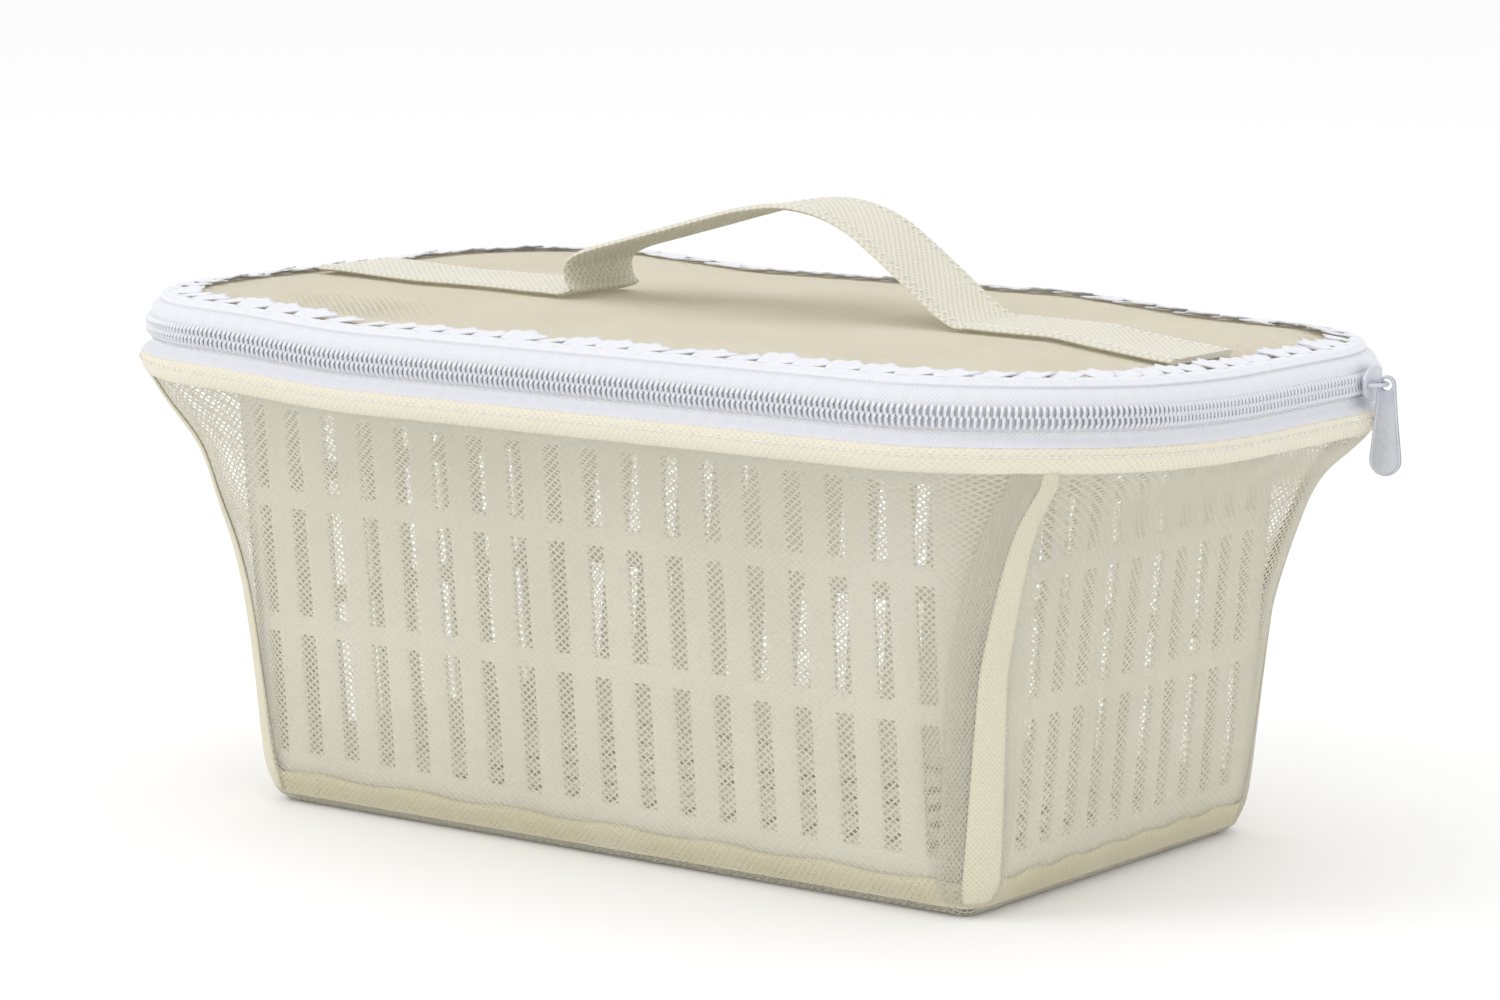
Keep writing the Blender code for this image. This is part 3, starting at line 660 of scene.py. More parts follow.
def basket_ring(inset):
    """Points round the basket, counter-clockwise from the back's right end, and which gaps hold a slot."""
    ring = []
    open_gaps = []
    radius = corner_radius(inset)
    reach = radius * math.sin(math.radians(45))
    for side in range(4):
        count, pitch = SLOTS[side % 2]
        sign = RUN_SIGNS[side]
        edges = []
        for number in range(count):
            middle = (number - (count - 1) / 2) * pitch
            edges += [middle - SLOT_WIDTH / 2, middle + SLOT_WIDTH / 2]
        for number, edge in enumerate(edges):
            open_gaps.append(len(ring) if number % 2 == 0 else -1)
            ring.append(side_point(side, sign * edge, inset))
        half = RIM_LENGTH / 2 - end_inset(inset)
        depth = RIM_DEPTH / 2 - inset
        here, there = (half, depth) if side % 2 == 0 else (depth, half)
        next_side = (side + 1) % 4
        next_count, next_pitch = SLOTS[next_side % 2]
        next_edge = (next_count - 1) / 2 * next_pitch + SLOT_WIDTH / 2
        run = np.linspace(edges[-1], here - radius + reach, 24)
        rise = np.linspace(there - radius + reach, next_edge, 24)
        path = [side_point(side, sign * along, inset) for along in run]
        path += [side_point(next_side, -RUN_SIGNS[next_side] * along, inset) for along in rise]
        path = np.array(path)
        length = lengths_along(path)
        for part in np.linspace(0, length[-1], 14)[1:-1]:
            open_gaps.append(-1)
            ring.append((np.interp(part, length, path[:, 0]), np.interp(part, length, path[:, 1])))
    return np.array(ring), {gap for gap in open_gaps if gap >= 0}


def make_basket():
    rows = [(basket_inset(z * MM) + tuck * MM, z * MM, False) for tuck, z in FOOT_TUCK]
    low = SLOT_FOOT
    for height in (*BAR_HEIGHTS, None):
        high = SLOT_HEAD if height is None else height - BAR_WIDTH / 2
        rows[-1] = (*rows[-1][:2], True)
        rows.append((basket_inset(high), high, False))
        if height is not None:
            low = height + BAR_WIDTH / 2
            rows.append((basket_inset(low), low, False))
    rows.append((basket_inset(124 * MM), 124 * MM, False))
    rows.append((basket_inset(127.6 * MM), 127.6 * MM, False))
    rows += [(inset * MM, z * MM, False) for inset, z in FLANGE]
    points = []
    for inset, z, _ in rows:
        ring, open_gaps = basket_ring(inset)
        share = wave_share(inset, z)
        points += [(x, y, z + rim_wave(x, y) * share) for x, y in ring]
    count = len(ring)
    faces = []
    for level in range(len(rows) - 1):
        for i in range(count):
            if rows[level][2] and i in open_gaps:
                continue
            after = (i + 1) % count
            here = level * count
            faces.append((here + i, here + after, here + count + after, here + count + i))
    shell = piece("basket_moulding", points, faces, PLASTIC)
    modify(shell, "SOLIDIFY", thickness=BASKET_WALL, offset=-1.0)
    modify(shell, "BEVEL", width=0.5 * MM, segments=2, limit_method="ANGLE", angle_limit=math.radians(50))
    baked(shell)
    shell.data.shade_smooth()
    shell.data.set_sharp_from_angle(angle=math.radians(35))
    walls = [f"basket_{side}_wall" for side in ("front", "back", "left", "right")]
    corners = [f"basket_{end}_{side}_corner" for end in ("front", "rear") for side in ("left", "right")]
    belongs(shell, "bag", "basket", "basket_rim", *walls, *corners)
    floor = frame["nodes"]["basket_floor"]
    floor.data.materials.clear()
    floor.data.materials.append(PLASTIC)


# ---- net --------------------------------------------------------------------------------------------
NET_WALL = 0.8 * MM
HEM_LOW = CHAIN_HEIGHT - 12.3 * MM
# How far the net stands off the basket, in mm, by height as a share of the hem's.
SLACK = ((0.30, 1.3), (0.52, 2.8), (0.71, 6.1), (0.845, 10.4), (0.94, 16.8))
CELL_WIDTH = 2.6 * MM
CELL_HEIGHT = 2.1 * MM
OPENING = 0.66
THREAD_DEPTH = 0.30 * MM


def wall_line():
    """The net wall's outer face from its foot up to the hem, as (inset, z)."""
    stand = NET_WALL + 0.6 * MM
    foot = ((3.9 * MM, 3 * MM), (1.0 * MM, 10 * MM), (0, 19 * MM))
    line = [(basket_inset(z) + tuck - stand, z) for tuck, z in foot]
    for share, slack in SLACK:
        z = share * HEM_LOW
        line.append((basket_inset(z) - NET_WALL - slack * MM, z))
    line.append((2.2 * MM, HEM_LOW))
    return ridge_line(line, 8)


WALL_LINE = wall_line()
WALL_LENGTHS = lengths_along(WALL_LINE)


def wall_spot(part):
    """(inset, z) at a share of the way up the wall."""
    at = np.asarray(part) * WALL_LENGTHS[-1]
    return np.interp(at, WALL_LENGTHS, WALL_LINE[:, 0]), np.interp(at, WALL_LENGTHS, WALL_LINE[:, 1])


def ripple(x, y, z):
    """Slow waves in loose cloth, between -1 and 1."""
    return (
        np.sin(61 * x + 47 * y + 23 * z)
        + 0.7 * np.sin(-113 * x + 89 * y + 71 * z + 1.3)
        + 0.5 * np.sin(197 * x + 151 * y - 133 * z + 2.1)
    ) / 2.2


def loosen(grid, part, amount=1.0):
    """Lets the wall ripple in and out, most where it bridges from the rim to the basket."""
    x, y, z = grid[..., 0], grid[..., 1], grid[..., 2]
    free = smooth(part, 0.30, 0.75) * (1 - smooth(part, 0.92, 1.0)) * 1.2 * MM + 0.12 * MM
    move = amount * free * ripple(x, y, z)
    middle = np.stack([0.55 * x, 0.3 * y, z], axis=-1)
    out = grid - middle
    out[..., 2] = 0
    out /= np.maximum(1e-9, np.linalg.norm(out, axis=-1, keepdims=True))
    return grid + out * move[..., None]


def diamond_lattice(name, grid, finish):
    """Diamond faces over a grid of points. They face the way that the first step turns towards the second."""
    wide, tall = grid.shape[:2]
    number = np.arange(wide * tall).reshape(wide, tall)
    kept = {}
    faces = []
    for i in range(wide):
        for j in range(1 - i % 2, tall, 2):
            corners = []
            for a, b in ((i - 1, j), (i, j - 1), (i + 1, j), (i, j + 1)):
                if 0 <= a < wide and 0 <= b < tall and not np.isnan(grid[a, b, 0]):
                    corners.append(kept.setdefault(number[a, b], len(kept)))
            if len(corners) >= 3:
                faces.append(corners)
    flat = grid.reshape(-1, 3)
    points = flat[list(kept)]
    return piece(name, points, faces, finish, smooth_angle=0)


def open_up(lattice, finish, opening=OPENING, depth=THREAD_DEPTH):
    return run_tree(lattice, OPEN_NET, {"Opening": opening, "Thread Depth": depth, "Yarn": finish})


def area_of(target):
    sizes = np.zeros(len(target.data.polygons))
    target.data.polygons.foreach_get("area", sizes)
    return float(sizes.sum())


def make_walls():
    """The four side panels. Each comes with its width halfway up and its area before it is opened up."""
    sides = (("back", 0.5), ("left", 2.5), ("front", 4.5), ("right", 6.5))
    rows = int(2 * WALL_LENGTHS[-1] / CELL_HEIGHT) // 2 * 2
    walls = []
    part = np.linspace(0, 1, rows + 1)
    inset, z = wall_spot(part)
    for side, start in sides:
        turns = even_turns(start, start + 2, CELL_WIDTH / 2, 18 * MM)
        grid = on_outline(turns[:, None], inset[None, :], z[None, :])
        grid = loosen(grid, part[None, :])
        lattice = diamond_lattice(f"net_{side}_wall", grid, NET)
        cut_area = area_of(lattice)
        wall = open_up(lattice, NET)
        belongs(wall, "bag", "mesh", f"bag_{side}_panel")
        width = float(lengths_along(grid[:, rows // 2])[-1])
        walls.append((wall, width, cut_area))
    return walls


def clipped(x, y, inset):
    """Moves points outside the outline at an inset back onto it. Also says how far out each one was."""
    radius = float(corner_radius(inset))
    reach_x = RIM_LENGTH / 2 - end_inset(inset) - radius
    reach_y = RIM_DEPTH / 2 - inset - radius
    core_x = np.clip(x, -reach_x, reach_x)
    core_y = np.clip(y, -reach_y, reach_y)
    far = np.hypot(x - core_x, y - core_y)
    pull = np.where(far > radius, radius / np.maximum(far, 1e-9), 1.0)
    return core_x + (x - core_x) * pull, core_y + (y - core_y) * pull, far - radius


def flat_lattice(name, inset, cell_width, cell_height, height, finish, facing=1):
    """A diamond lattice over the whole outline, with its height from a function."""
    half_x = RIM_LENGTH / 2 - end_inset(inset)
    half_y = RIM_DEPTH / 2 - inset
    wide = int(2 * half_x / (cell_width / 2)) + 3
    deep = int(2 * half_y / (cell_height / 2)) + 3
    x, y = np.meshgrid(
        np.linspace(-half_x, half_x, wide), facing * np.linspace(-half_y, half_y, deep), indexing="ij"
    )
    x, y, out = clipped(x, y, inset)
    z = height(x, y)
    x = np.where(out > 0.5 * cell_width, np.nan, x)
    return diamond_lattice(name, np.stack([x, y, z], axis=-1), finish)


def make_bottom():
    edge = float(WALL_LINE[0, 0])

    def height(x, y):
        _, _, out = clipped(x, y, edge)
        return 0.35 * MM + 2.2 * MM * smooth(out, -3.2 * MM, 0)

    lattice = flat_lattice("net_bottom", edge, CELL_WIDTH, CELL_HEIGHT, height, NET, facing=-1)
    cut_area = area_of(lattice)
    bottom = open_up(lattice, NET)
    belongs(bottom, "bag", "mesh", "bag_bottom_panel")


# ---- lid --------------------------------------------------------------------------------------------
LID_EDGE_INSET = 7.0 * MM
LID_HOLLOW = Vector((-0.092, -0.066))


def depth_from_edge(x, y, edge):
    """How far in from the outline at an inset a place lies, up to the corner's radius."""
    _, _, out = clipped(x, y, edge)
    return -out


def lid_height(x, y):
    """The lid's upper side, with the rim's wave and the slack places of its net."""
    x, y = np.asarray(x, float), np.asarray(y, float)
    inset = LID_EDGE_INSET + depth_from_edge(x, y, LID_EDGE_INSET)
    rise = 0.8 * MM + 2.2 * MM * smooth(inset, 0, 0.40 * RIM_DEPTH)
    hollow = np.exp(-(((x - LID_HOLLOW.x) / 0.040) ** 2 + ((y - LID_HOLLOW.y) / 0.021) ** 2))
    free = smooth(inset, 12 * MM, 34 * MM)
    slack = free * (0.35 * MM * ripple(0.7 * x, 0.7 * y, 0) - 4.6 * MM * hollow)
    wave = rim_wave(x, y) * (1 - smooth(inset, 16.8 * MM, 75 * MM))
    return LID_EDGE_HEIGHT + rise + wave + slack


def make_lid():
    lattice = flat_lattice("net_lid", LID_EDGE_INSET, 2.8 * MM, 2.3 * MM, lid_height, LID_NET_PAINTED_LIGHT)
    cut_area = area_of(lattice)
    lid = open_up(lattice, LID_NET_PAINTED_LIGHT)
    belongs(lid, "lid", "mesh", "lid_mesh_panel")


# ---- hem, folds and the foot band -------------------------------------------------------------------
def make_hem():
    low = HEM_LOW + 0.3 * MM
    top = CHAIN_HEIGHT - 7.2 * MM
    outer = ridge_line(
        [
            (3.6 * MM, low - 2.6 * MM), (2.0 * MM, low - 1.8 * MM), (0.7 * MM, low),
            (0.2 * MM, low + 1.7 * MM), (0.3 * MM, low + 3.2 * MM), (0.8 * MM, top - 0.4 * MM),
            (1.7 * MM, top),
        ],
        3,
    )
    turns = even_turns(0, ROUND, 3 * MM, 1 * MM)

    def puff(grid, turns):
        # Gathers of the sewn hem, about 9 mm apart.
        wave = 0.18 * MM * np.sin(np.linspace(0, 2 * math.pi * 113, len(turns)))
        wave[-1] = wave[0]
        grid[:, : len(outer), :2] *= (1 - (0.12 * MM + np.abs(wave)) / 0.14)[:, None, None]
        return grid

    hem = swept("hem_band", walled(outer, 0.8 * MM), turns, HEM_NET, puff)
    belongs(hem, "bag", "mesh", "bag_rim_hem")
    return hem


def make_folds():
    """A second layer of net down each corner, with the seam's spare cloth folded into a wedge over it."""
    rows = 120
    part = np.linspace(0.01, 0.985, rows + 1)
    inset, z = wall_spot(part)
    made = []
    for name, middle in (("rear_right", 0.5), ("rear_left", 2.5), ("front_left", 4.5), ("front_right", 6.5)):
        arc = np.maximum(20 * MM, corner_radius(inset) * math.pi / 2)
        half = (9.5 - 4.0 * part) * MM / arc
        across = np.linspace(-1, 1, 27)
        turns = middle + across[:, None] * half[None, :]
        layer = on_outline(turns, inset[None, :] - 0.5 * MM, z[None, :])
        layer = open_up(diamond_lattice(f"fold_net_{name}", loosen(layer, part[None, :]), NET), NET, 0.55)
        across = np.linspace(-1, 1, 9)
        half = (2.2 + 3.4 * (1 - part) ** 0.9) * MM / arc
        drop_away = 0.45 * MM * np.abs(across[:, None]) ** 4 + 0 * inset[None, :]
        turns = middle + (2.6 + 3.0 * part[None, :]) * MM / arc[None, :] + across[:, None] * half[None, :]
        wedge = loosen(on_outline(turns, inset[None, :] - 0.95 * MM + drop_away, z[None, :]), part[None, :])
        tall = rows + 1
        faces = []
        for i in range(8):
            for j in range(rows):
                here = i * tall + j
                faces.append((here, here + tall, here + tall + 1, here + 1))
        uv = [(12 * MM * i / 8, WALL_LENGTHS[-1] * part[j]) for i in range(9) for j in range(tall)]
        fold = piece(f"fold_{name}", wedge.reshape(-1, 3), faces, FOLDED_NET, uv)
        modify(fold, "SOLIDIFY", thickness=0.35 * MM, offset=-1.0)
        made += [belongs(layer, "bag", "mesh"), belongs(baked(fold), "bag", "mesh")]
    return made


def make_foot_band():
    """A second, yellower layer of net round the foot, where the wall's net is turned under."""
    rows = 9
    part = np.linspace(0.0, 0.066, rows)
    inset, z = wall_spot(part)
    turns = even_turns(0, ROUND, 1.1 * MM, 36 * MM)
    if len(turns) % 2 == 0:
        turns = np.linspace(0, 1, len(turns) + 1)
        turns = np.interp(turns, np.linspace(0, 1, len(turns) - 1), even_turns(0, ROUND, 1.1 * MM, 36 * MM))
    level = z[None, :] + 0.5 * MM * np.sin(40 * turns)[:, None] * (part / 0.066)[None, :]
    grid = on_outline(turns[:, None], inset[None, :] - 0.45 * MM, level)
    band = open_up(diamond_lattice("foot_net", grid, EDGE_NET), EDGE_NET, 0.32)
    return belongs(band, "bag", "mesh")


# ---- zip --------------------------------------------------------------------------------------------
TAPE_INSET = 4.0 * MM
TEETH_PITCH = 1.8 * MM


def tape_line(direction, tucked=False):
    """A tape's profile, up or down from the chain. Tucked, its near edge laps behind the other tape."""
    near = CHAIN_HEIGHT + direction * 0.5 * MM
    far = CHAIN_HEIGHT + direction * 7.5 * MM
    bend = near + 0.62 * (far - near)
    end = LID_EDGE_INSET if direction > 0 else 1.0 * MM
    line = [(TAPE_INSET, near), (TAPE_INSET, bend), (end, far)]
    if tucked:
        behind = TAPE_INSET + 0.7 * MM
        line = [(behind, near - direction * 2.5 * MM), (behind, near - direction * 1.2 * MM), *line]
    return ridge_line(line, 4)


def coil_tooth():
    """One turn of the coil: a fat bow, standing out of the tape. Its X runs along the zip."""
    path = []
    for step in range(7):
        turn = math.pi * step / 6
        bow = (0.9 - 1.25 * math.sin(turn)) * MM
        path.append((0.12 * MM * math.cos(turn), bow, 1.4 * MM * math.cos(turn)))
    return tube("coil_tooth", path, 0.50 * MM, 6, NYLON)


def stitch(length, thick):
    shares = (0, 0.25, 0.5, 0.75, 1)
    path = [(length * (share - 0.5), 0.5 * thick * (abs(2 * share - 1) ** 2), 0) for share in shares]
    return tube("stitch", path, thick / 2, 6, THREAD)


def zip_line(start, stop, inset, z):
    return on_outline(even_turns(start, stop, 1.5 * MM, inset), inset, z)


def tape(name, direction, start, stop, tucked=False):
    turns = even_turns(start, stop, 3 * MM, 3 * MM)
    return swept(name, walled(tape_line(direction, tucked), 0.6 * MM), turns, TAPE)


def make_end_stop(side, turn):
    spots = on_outline(np.array([turn - 0.008, turn + 0.008]), 3.0 * MM, CHAIN_HEIGHT)
    along = spots[1] - spots[0]
    turned = Matrix.Rotation(math.atan2(along[1], along[0]), 4, "Z")
    size = Matrix.Diagonal((2.2 * MM, 2.0 * MM, 5.2 * MM, 1))
    shape = bmesh.new()
    bmesh.ops.create_cube(shape, size=1.0)
    place = Matrix.Translation(spots.mean(axis=0))
    bmesh.ops.transform(shape, matrix=place @ turned @ size, verts=shape.verts)
    end_stop = from_shape(f"end_stop_{side}", shape, ZINC)
    modify(end_stop, "BEVEL", width=0.4 * MM, segments=3)
    baked(end_stop)
    end_stop.data.shade_smooth()
    belongs(end_stop, "bag", "enamel", f"zip_end_stop_{side}")


def make_zip():
    tooth = coil_tooth()
    thread = stitch(2.3 * MM, 0.42 * MM)
    belongs(tape("zip_tape_bag", -1, 0, ROUND), "bag", "tape", "zip_tape_bag_side")
    open_stop = ROUND + OPENING_RIGHT
    lid_tape = tape("zip_tape_lid", 1, OPENING_LEFT + 0.006, open_stop - 0.006)
    belongs(lid_tape, "lid", "tape", "zip_tape_lid_side")
    hinge = tape("hinge_tape", 1, OPENING_RIGHT, OPENING_LEFT, tucked=True)
    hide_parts("lid_hinge_tape")
    # The rim falls from left to right along the hinge, by its wave, and the bend falls with it.
    start = Vector((0, joints["lid_open"]["pos_m"][1], CHAIN_HEIGHT + 2.2 * MM))
    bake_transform(hinge)

    out = 3.0 * MM
    low = CHAIN_HEIGHT - 1.25 * MM
    high = CHAIN_HEIGHT + 1.25 * MM
    bag_start, bag_stop = ZIP_END_LEFT, ROUND + ZIP_END_RIGHT
    bag_teeth = row_of("coil_bag", zip_line(bag_start, bag_stop, out, low), TEETH_PITCH, tooth, NYLON)
    belongs(bag_teeth, "bag", "coil", "zip_coil_bag_side")
    # A small step along: about 0.3 mm on a corner's arc.
    shift = 0.5 * TEETH_PITCH / 300e-3
    lid_line = zip_line(OPENING_LEFT + shift, open_stop - 0.012, out, high)
    teeth = row_of("coil_lid", lid_line, TEETH_PITCH, tooth, NYLON)
    belongs(teeth, "lid", "coil", "zip_coil_lid_side")
    for side, start, stop in (("right", OPENING_RIGHT, ZIP_END_RIGHT), ("left", ZIP_END_LEFT, OPENING_LEFT)):
        end = row_of(f"coil_{side}_end", zip_line(start + shift, stop, out, high), TEETH_PITCH, tooth, NYLON)
        belongs(end, "bag", "coil", f"zip_coil_{side}_end")
    make_end_stop("right", ZIP_END_RIGHT + 0.02)
    make_end_stop("left", ZIP_END_LEFT - 0.02)

    # A grey strip behind the coils' teeth: painted shade, seen in the gaps between them.
    for name, body, start, stop, z in (
        ("cord_bag", "bag", bag_start, bag_stop, low),
        ("cord_lid", "lid", OPENING_LEFT + 0.02, open_stop - 0.02, high),
    ):
        shade_section = [(3.65 * MM, z - 1.2 * MM), (3.25 * MM, z), (3.65 * MM, z + 1.2 * MM), (3.95 * MM, z)]
        belongs(swept(name, shade_section, even_turns(start, stop, 3 * MM, 3 * MM), SHADED), body, "coil")

    # Lockstitch seams that hold the coils, the tapes and the hem.
    seams = (
        ("seam_bag_tape", "bag", 0, ROUND, 0.75 * MM, CHAIN_HEIGHT - 9.2 * MM),
        ("seam_hem_low", "bag", 0, ROUND, 0.15 * MM, HEM_LOW + 2.6 * MM),
        ("seam_coil_bag", "bag", 0, ROUND, 3.95 * MM, CHAIN_HEIGHT - 3.9 * MM),
        ("seam_coil_lid", "lid", OPENING_LEFT + 0.01, open_stop - 0.01, 3.95 * MM, CHAIN_HEIGHT + 3.9 * MM),
    )
    for name, body, start, stop, inset, z in seams:
        made = row_of(name, zip_line(start, stop, inset, z), 3.1 * MM, thread, THREAD, 0.08, 0.06)
        belongs(made, body, "tape")
    drop(tooth, thread)


# ---- sliders and pull tabs --------------------------------------------------------------------------
ARC_CENTRE = Vector((RIM_LENGTH / 2 - RIM_RADIUS, RIM_DEPTH / 2 - RIM_RADIUS, 0))
SLIDERS = (("front", 0.0), ("rear", 29.0))  # and how far each tab is twisted


def cut_plate(name, outer, holes, wall, finish, bevel):
    """A flat plate in YZ, centred on X, with its outline and its holes given as (y, z)."""
    shape = bmesh.new()
    for loop in (outer, *holes):
        made = [shape.verts.new((-wall / 2, y, z)) for y, z in loop]
        for number, vert in enumerate(made):
            shape.edges.new((vert, made[(number + 1) % len(made)]))
    bmesh.ops.triangle_fill(shape, use_beauty=True, use_dissolve=False, edges=shape.edges[:])
    pushed = bmesh.ops.extrude_face_region(shape, geom=shape.faces[:])
    moved = [item for item in pushed["geom"] if isinstance(item, bmesh.types.BMVert)]
    bmesh.ops.translate(shape, vec=(wall, 0, 0), verts=moved)
    bmesh.ops.recalc_face_normals(shape, faces=shape.faces[:])
    plate = from_shape(name, shape, finish)
    modify(plate, "BEVEL", width=bevel, segments=3, limit_method="ANGLE", angle_limit=math.radians(50))
    baked(plate)
    plate.data.shade_smooth()
    plate.data.set_sharp_from_angle(angle=math.radians(55))
    return plate


def placed(target, matrix):
    target.data.transform(matrix)
    return target


def round_outline(points):
    """A closed outline with its corners cut back twice, so that they look round."""
    points = np.array(points, float)
    for _ in range(2):
        ahead = np.roll(points, -1, axis=0)
        points = np.stack([0.75 * points + 0.25 * ahead, 0.25 * points + 0.75 * ahead], axis=1).reshape(-1, 2)
    return [tuple(p) for p in points]


def tab_outline(shrink=0.0):
    """The pull tab: narrow at its eye, widening down to a full round end, as (y, z)."""
    neck, shoulder, end = 2.6 * MM, 3.25 * MM, 4.6 * MM
    end_drop = 28 * MM - neck - end
    line = []
    for step in range(9):
        turn = math.pi / 2 * step / 8
        line.append(((neck - shrink) * math.sin(turn), (neck - shrink) * math.cos(turn)))
    line.append((shoulder - shrink, -8.4 * MM))
    for step in range(13):
        turn = math.pi / 2 * step / 12
        line.append(((end - shrink) * math.cos(turn), -end_drop - (end - shrink) * math.sin(turn)))
    return line + [(-y, z) for y, z in reversed(line[1:-1])]


def ring(radius, sides=24, y=0.0, z=0.0):
    return [
        (y + radius * math.cos(2 * math.pi * k / sides), z + radius * math.sin(2 * math.pi * k / sides))
        for k in range(sides)
    ]


def make_sliders():
    for place, twist in SLIDERS:
        joint = Vector(joints[f"{place}_tab_swing"]["pos_m"])
        out = joint - ARC_CENTRE
        turn = math.atan2(out.y, out.x)
        spot = ARC_CENTRE + Vector((math.cos(turn), math.sin(turn), 0)) * RIM_RADIUS
        height = CHAIN_HEIGHT + float(rim_wave(spot.x, spot.y))
        base = Matrix.Translation((spot.x, spot.y, height)) @ Matrix.Rotation(turn, 4, "Z")
        half, tall = 6.5 * MM, 4.8 * MM
        shield = [(-half, -0.55 * tall), (-half, 0.55 * tall), (-0.35 * half, tall), (0.55 * half, tall)]
        shield += [(half, 0.62 * tall), (half, -0.62 * tall), (0.55 * half, -tall), (-0.35 * half, -tall)]
        outline = round_outline(shield)
        parts = []
        for label, middle in (("outer", -0.6 * MM), ("inner", -6.3 * MM)):
            plate = cut_plate(f"slider_{label}", outline, (), 1.0 * MM, ZINC, 0.28 * MM)
            parts.append(placed(plate, Matrix.Translation((middle, 0, 0))))
        web = cut_plate("slider_web", ring(1.0 * MM, 12), (), 5.9 * MM, ZINC, 0.1 * MM)
        web.data.transform(Matrix.Diagonal((1, 1.8, 0.24, 1)))
        parts.append(placed(web, Matrix.Translation((-3.45 * MM, 0, 0))))
        bar = (joint - spot).xy.length
        arch = []
        for step in range(13):
            share = step / 12
            lift = math.sin(math.pi * share) ** 0.5
            arch.append((-0.2 * MM + (bar + 0.2 * MM) * lift, (share - 0.5) * 2 * 0.36 * 13 * MM, 0))
        parts.append(tube("slider_bridge", arch, 0.62 * MM, 10, ZINC))
        slider = joined(f"{place}_slider", parts)
        placed(slider, base)
        belongs(slider, f"{place}_slider", "enamel", f"{place}_slider_body")

        face = cut_plate("tab_face", tab_outline(), (ring(1.65 * MM),), 0.9 * MM, ZINC, 0.15 * MM)
        inside = tab_outline(0.75 * MM)
        frame_ring = cut_plate("tab_edge", tab_outline(), (inside,), 1.35 * MM, ZINC, 0.3 * MM)
        collar = cut_plate("tab_collar", ring(2.5 * MM), (ring(1.65 * MM),), 1.3 * MM, ZINC, 0.25 * MM)
        tab = joined(f"{place}_tab", [face, frame_ring, collar])
        upright = Matrix.Rotation(math.radians(90 + twist), 4, "Z")
        placed(tab, base @ Matrix.Translation((bar, 0, 0)) @ upright)
        belongs(tab, f"{place}_tab", "enamel", f"{place}_pull_tab")


# ---- scalloped trim ---------------------------------------------------------------------------------
def petal():
    """One slanted petal of the trim, from a narrow root to a wide frilled edge. Y runs over the lid."""
    wide, deep = 17, 9
    points = []
    for j in range(deep):
        down = j / (deep - 1)
        half = (1.7 + 4.9 * down**0.8) * MM
        for i in range(wide):
            side = 2 * i / (wide - 1) - 1
            x = half * side + 2.2 * MM * down
            reach = 9.6 * (1 - 0.22 * side**2) + 0.55 * math.cos(2.5 * math.pi * side) * down**3
            fold = 0.6 * MM * (1 - abs(side + 0.1)) * (0.3 + 0.7 * down)
            frill = 0.16 * MM * math.cos(2.5 * math.pi * side) * down**2
            points.append((x, (-0.6 + reach * down) * MM, 0.30 * MM + 0.60 * MM * down + fold + frill))
    faces = []
    for j in range(deep - 1):
        for i in range(wide - 1):
            here = j * wide + i
            faces.append((here, here + 1, here + wide + 1, here + wide))
    uv = [(p[0], p[1]) for p in points]
    made = piece("petal", points, faces, PICOT, uv)
    modify(made, "SOLIDIFY", thickness=0.4 * MM, offset=0.0)
    return baked(made)


def make_trim():
    leaf = petal()
    line = zip_line(0, ROUND, 9.2 * MM, LID_EDGE_HEIGHT + 1.2 * MM)
    petals = row_of("trim_petals", line, 10.9 * MM, leaf, PICOT, 0.07, 0.09)
    belongs(petals, "lid", "trim", "lid_scalloped_trim")
    section = [
        (LID_EDGE_INSET, LID_EDGE_HEIGHT - 0.9 * MM),
        (LID_EDGE_INSET - 0.5 * MM, LID_EDGE_HEIGHT + 0.1 * MM),
        (LID_EDGE_INSET + 0.2 * MM, LID_EDGE_HEIGHT + 1.3 * MM),
        (LID_EDGE_INSET + 2.4 * MM, LID_EDGE_HEIGHT + 1.9 * MM),
        (LID_EDGE_INSET + 3.4 * MM, LID_EDGE_HEIGHT + 1.6 * MM),
        (LID_EDGE_INSET + 2.6 * MM, LID_EDGE_HEIGHT + 1.2 * MM),
    ]
    ribbon = swept("trim_ribbon", section, even_turns(0, ROUND, 3 * MM, 9 * MM), PICOT)
    belongs(ribbon, "lid", "trim")
    drop(leaf)


# ---- handle -----------------------------------------------------------------------------------------
STRAP_WIDTH = 32 * MM
STRAP_WALL = 1.6 * MM
STRAP_RISE = 29.3 * MM
FOOT_LEFT = -53 * MM
FOOT_RIGHT = 80 * MM
# The loop's underside, as shares of the way from foot to foot and of its rise.
LOOP = (
    (0.004, 0.06), (-0.012, 0.16), (-0.012, 0.31), (0.03, 0.42), (0.128, 0.545), (0.263, 0.71), (0.368, 0.84),
    (0.459, 0.94), (0.564, 1.0), (0.654, 0.955), (0.73, 0.83), (0.797, 0.64), (0.85, 0.47), (0.902, 0.30),
    (0.955, 0.12),
)


def tail_height(x):
    rest = max(float(lid_height(x, y)) for y in (-STRAP_WIDTH / 2, 0.0, STRAP_WIDTH / 2))
    return rest + 0.6 * MM


def strap_path():
    base = tail_height(0.0)
    reach = RIM_LENGTH / 2 - float(end_inset(16.8 * MM)) - 0.3 * MM
    left = [(x, tail_height(x)) for x in np.linspace(-reach, FOOT_LEFT - 5 * MM, 16)]
    loop = [(FOOT_LEFT + along * (FOOT_RIGHT - FOOT_LEFT), base + up * STRAP_RISE) for along, up in LOOP]
    right = [(x, tail_height(x)) for x in np.linspace(FOOT_RIGHT + 1.5 * MM, reach, 14)]
    return ridge_line([*left, *loop, *right], 5)


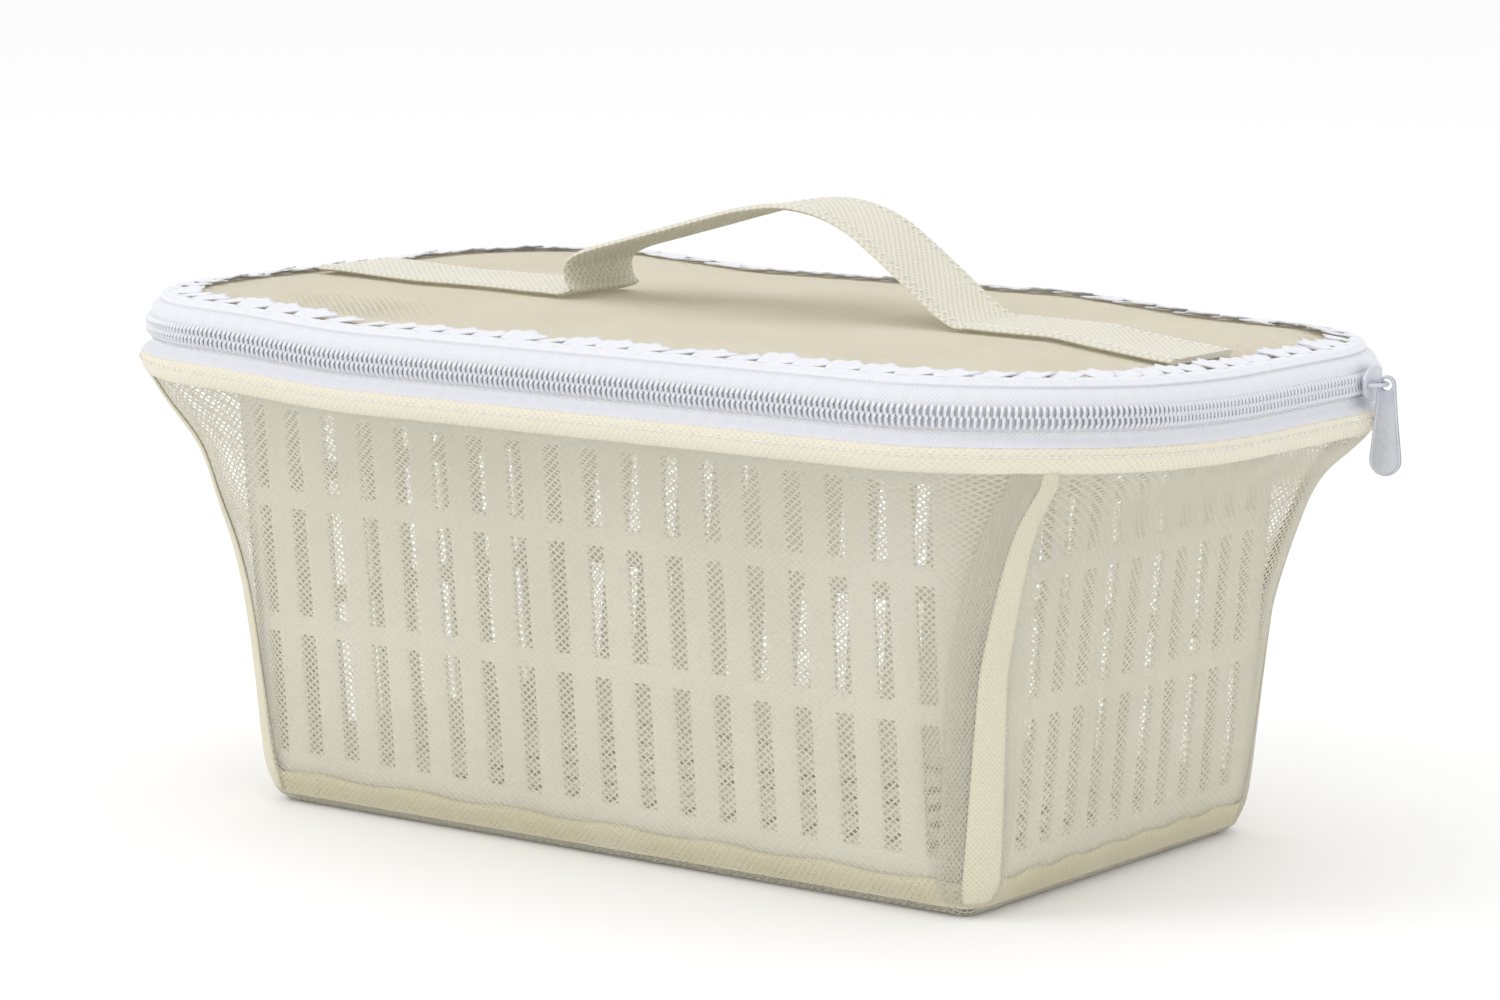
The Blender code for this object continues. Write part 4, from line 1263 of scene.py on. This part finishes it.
def strap_columns(path, lift, y):
    """The path pushed up along its own normal, at a place across the strap."""
    ahead = np.gradient(path, axis=0)
    ahead /= np.linalg.norm(ahead, axis=1, keepdims=True)
    x = path[:, 0] - ahead[:, 1] * lift
    z = path[:, 1] + ahead[:, 0] * lift
    return np.stack([x, np.full_like(x, y), z], axis=-1)


def make_handle():
    path = strap_path()
    along = lengths_along(path)
    across = np.linspace(-1, 1, 25)
    section = []
    for share in across:
        edge = 0.30 * MM * math.exp(-(((abs(share) - 0.90) / 0.06) ** 2))
        section.append((share, STRAP_WALL * (1 - 0.42 * abs(share) ** 30) + edge))
    for share in across[::-1]:
        section.append((share, 0.42 * STRAP_WALL * abs(share) ** 30))
    size = len(section)
    columns = [strap_columns(path, lift, share * STRAP_WIDTH / 2) for share, lift in section]
    columns = np.stack(columns, axis=1)
    faces = []
    for i in range(len(path) - 1):
        for j in range(size):
            after = (j + 1) % size
            faces.append((i * size + j, i * size + after, (i + 1) * size + after, (i + 1) * size + j))
    faces.append(tuple(range(size)))
    faces.append(tuple(range((len(path) - 1) * size, len(path) * size)))
    uv = [(along[i], share * STRAP_WIDTH / 2) for i in range(len(path)) for share, _ in section]
    strap = face_out(piece("handle_strap", columns.reshape(-1, 3), faces, WEBBING, uv))
    pieces = [strap]
    thread = stitch(2.4 * MM, 0.45 * MM)
    for side in (-1, 1):
        line = strap_columns(path, STRAP_WALL + 0.10 * MM, side * 0.80 * STRAP_WIDTH / 2)
        name = "handle_seam_front" if side < 0 else "handle_seam_back"
        pieces.append(row_of(name, line, 3.2 * MM, thread, THREAD))
    drop(thread)
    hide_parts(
        "handle_grip", "handle_left_leg", "handle_right_leg", "strap_left_tail", "strap_right_tail"
    )
    for made in pieces:
        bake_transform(made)


# ---- floor, light and camera ------------------------------------------------------------------------
def make_stage():
    finish = backdrop_paint("white_studio_floor", "#FBFBFB")
    corners = [(-30, -30, 0), (30, -30, 0), (30, 30, 0), (-30, 30, 0)]
    floor = piece("studio_floor", corners, [(0, 1, 2, 3)], finish)
    world = bpy.data.worlds.new("studio")
    bpy.context.scene.world = world
    world.use_nodes = True
    background = world.node_tree.nodes["Background"]
    background.inputs["Color"].default_value = colour("#FFFFFF")
    background.inputs["Strength"].default_value = 1.0
    bpy.context.scene.view_settings.view_transform = "Standard"
    lights = (
        ("key", (-1.1, -1.5, 1.8), 1.0, 11.0),
        ("fill", (2.0, -1.0, 1.2), 1.6, 3.0),
        ("top", (0.1, 0.5, 2.2), 1.8, 4.0),
    )
    for name, place, size, power in lights:
        light = bpy.data.lights.new(name, "AREA")
        light.size = size
        light.energy = power
        lamp = bpy.data.objects.new(name, light)
        lamp.location = place
        lamp.rotation_mode = "QUATERNION"
        lamp.rotation_quaternion = (Vector(place) - Vector((0, 0, 0.08))).to_track_quat("Z", "Y")
        bpy.context.scene.collection.objects.link(lamp)


def make_camera():
    azimuth, elevation, distance = 0.647706913, 0.150879360, 1.37427
    aim = Vector((-0.020527, 0.027524, 0.087837))
    level = math.cos(elevation)
    back = Vector((math.sin(azimuth) * level, -math.cos(azimuth) * level, math.sin(elevation)))
    lens = bpy.data.cameras.new("camera")
    lens.lens = 110.88
    lens.sensor_width = 36
    lens.clip_start = 0.05
    lens.dof.use_dof = False
    camera = bpy.data.objects.new("camera", lens)
    camera.location = aim + back * distance
    camera.rotation_mode = "QUATERNION"
    camera.rotation_quaternion = (-back).to_track_quat("-Z", "Y")
    bpy.context.scene.collection.objects.link(camera)
    bpy.context.scene.camera = camera


make_basket()
walls = make_walls()
make_bottom()
make_lid()
edgings = [make_hem(), *make_folds(), make_foot_band()]
make_zip()
make_sliders()
make_trim()
make_handle()
make_stage()
make_camera()
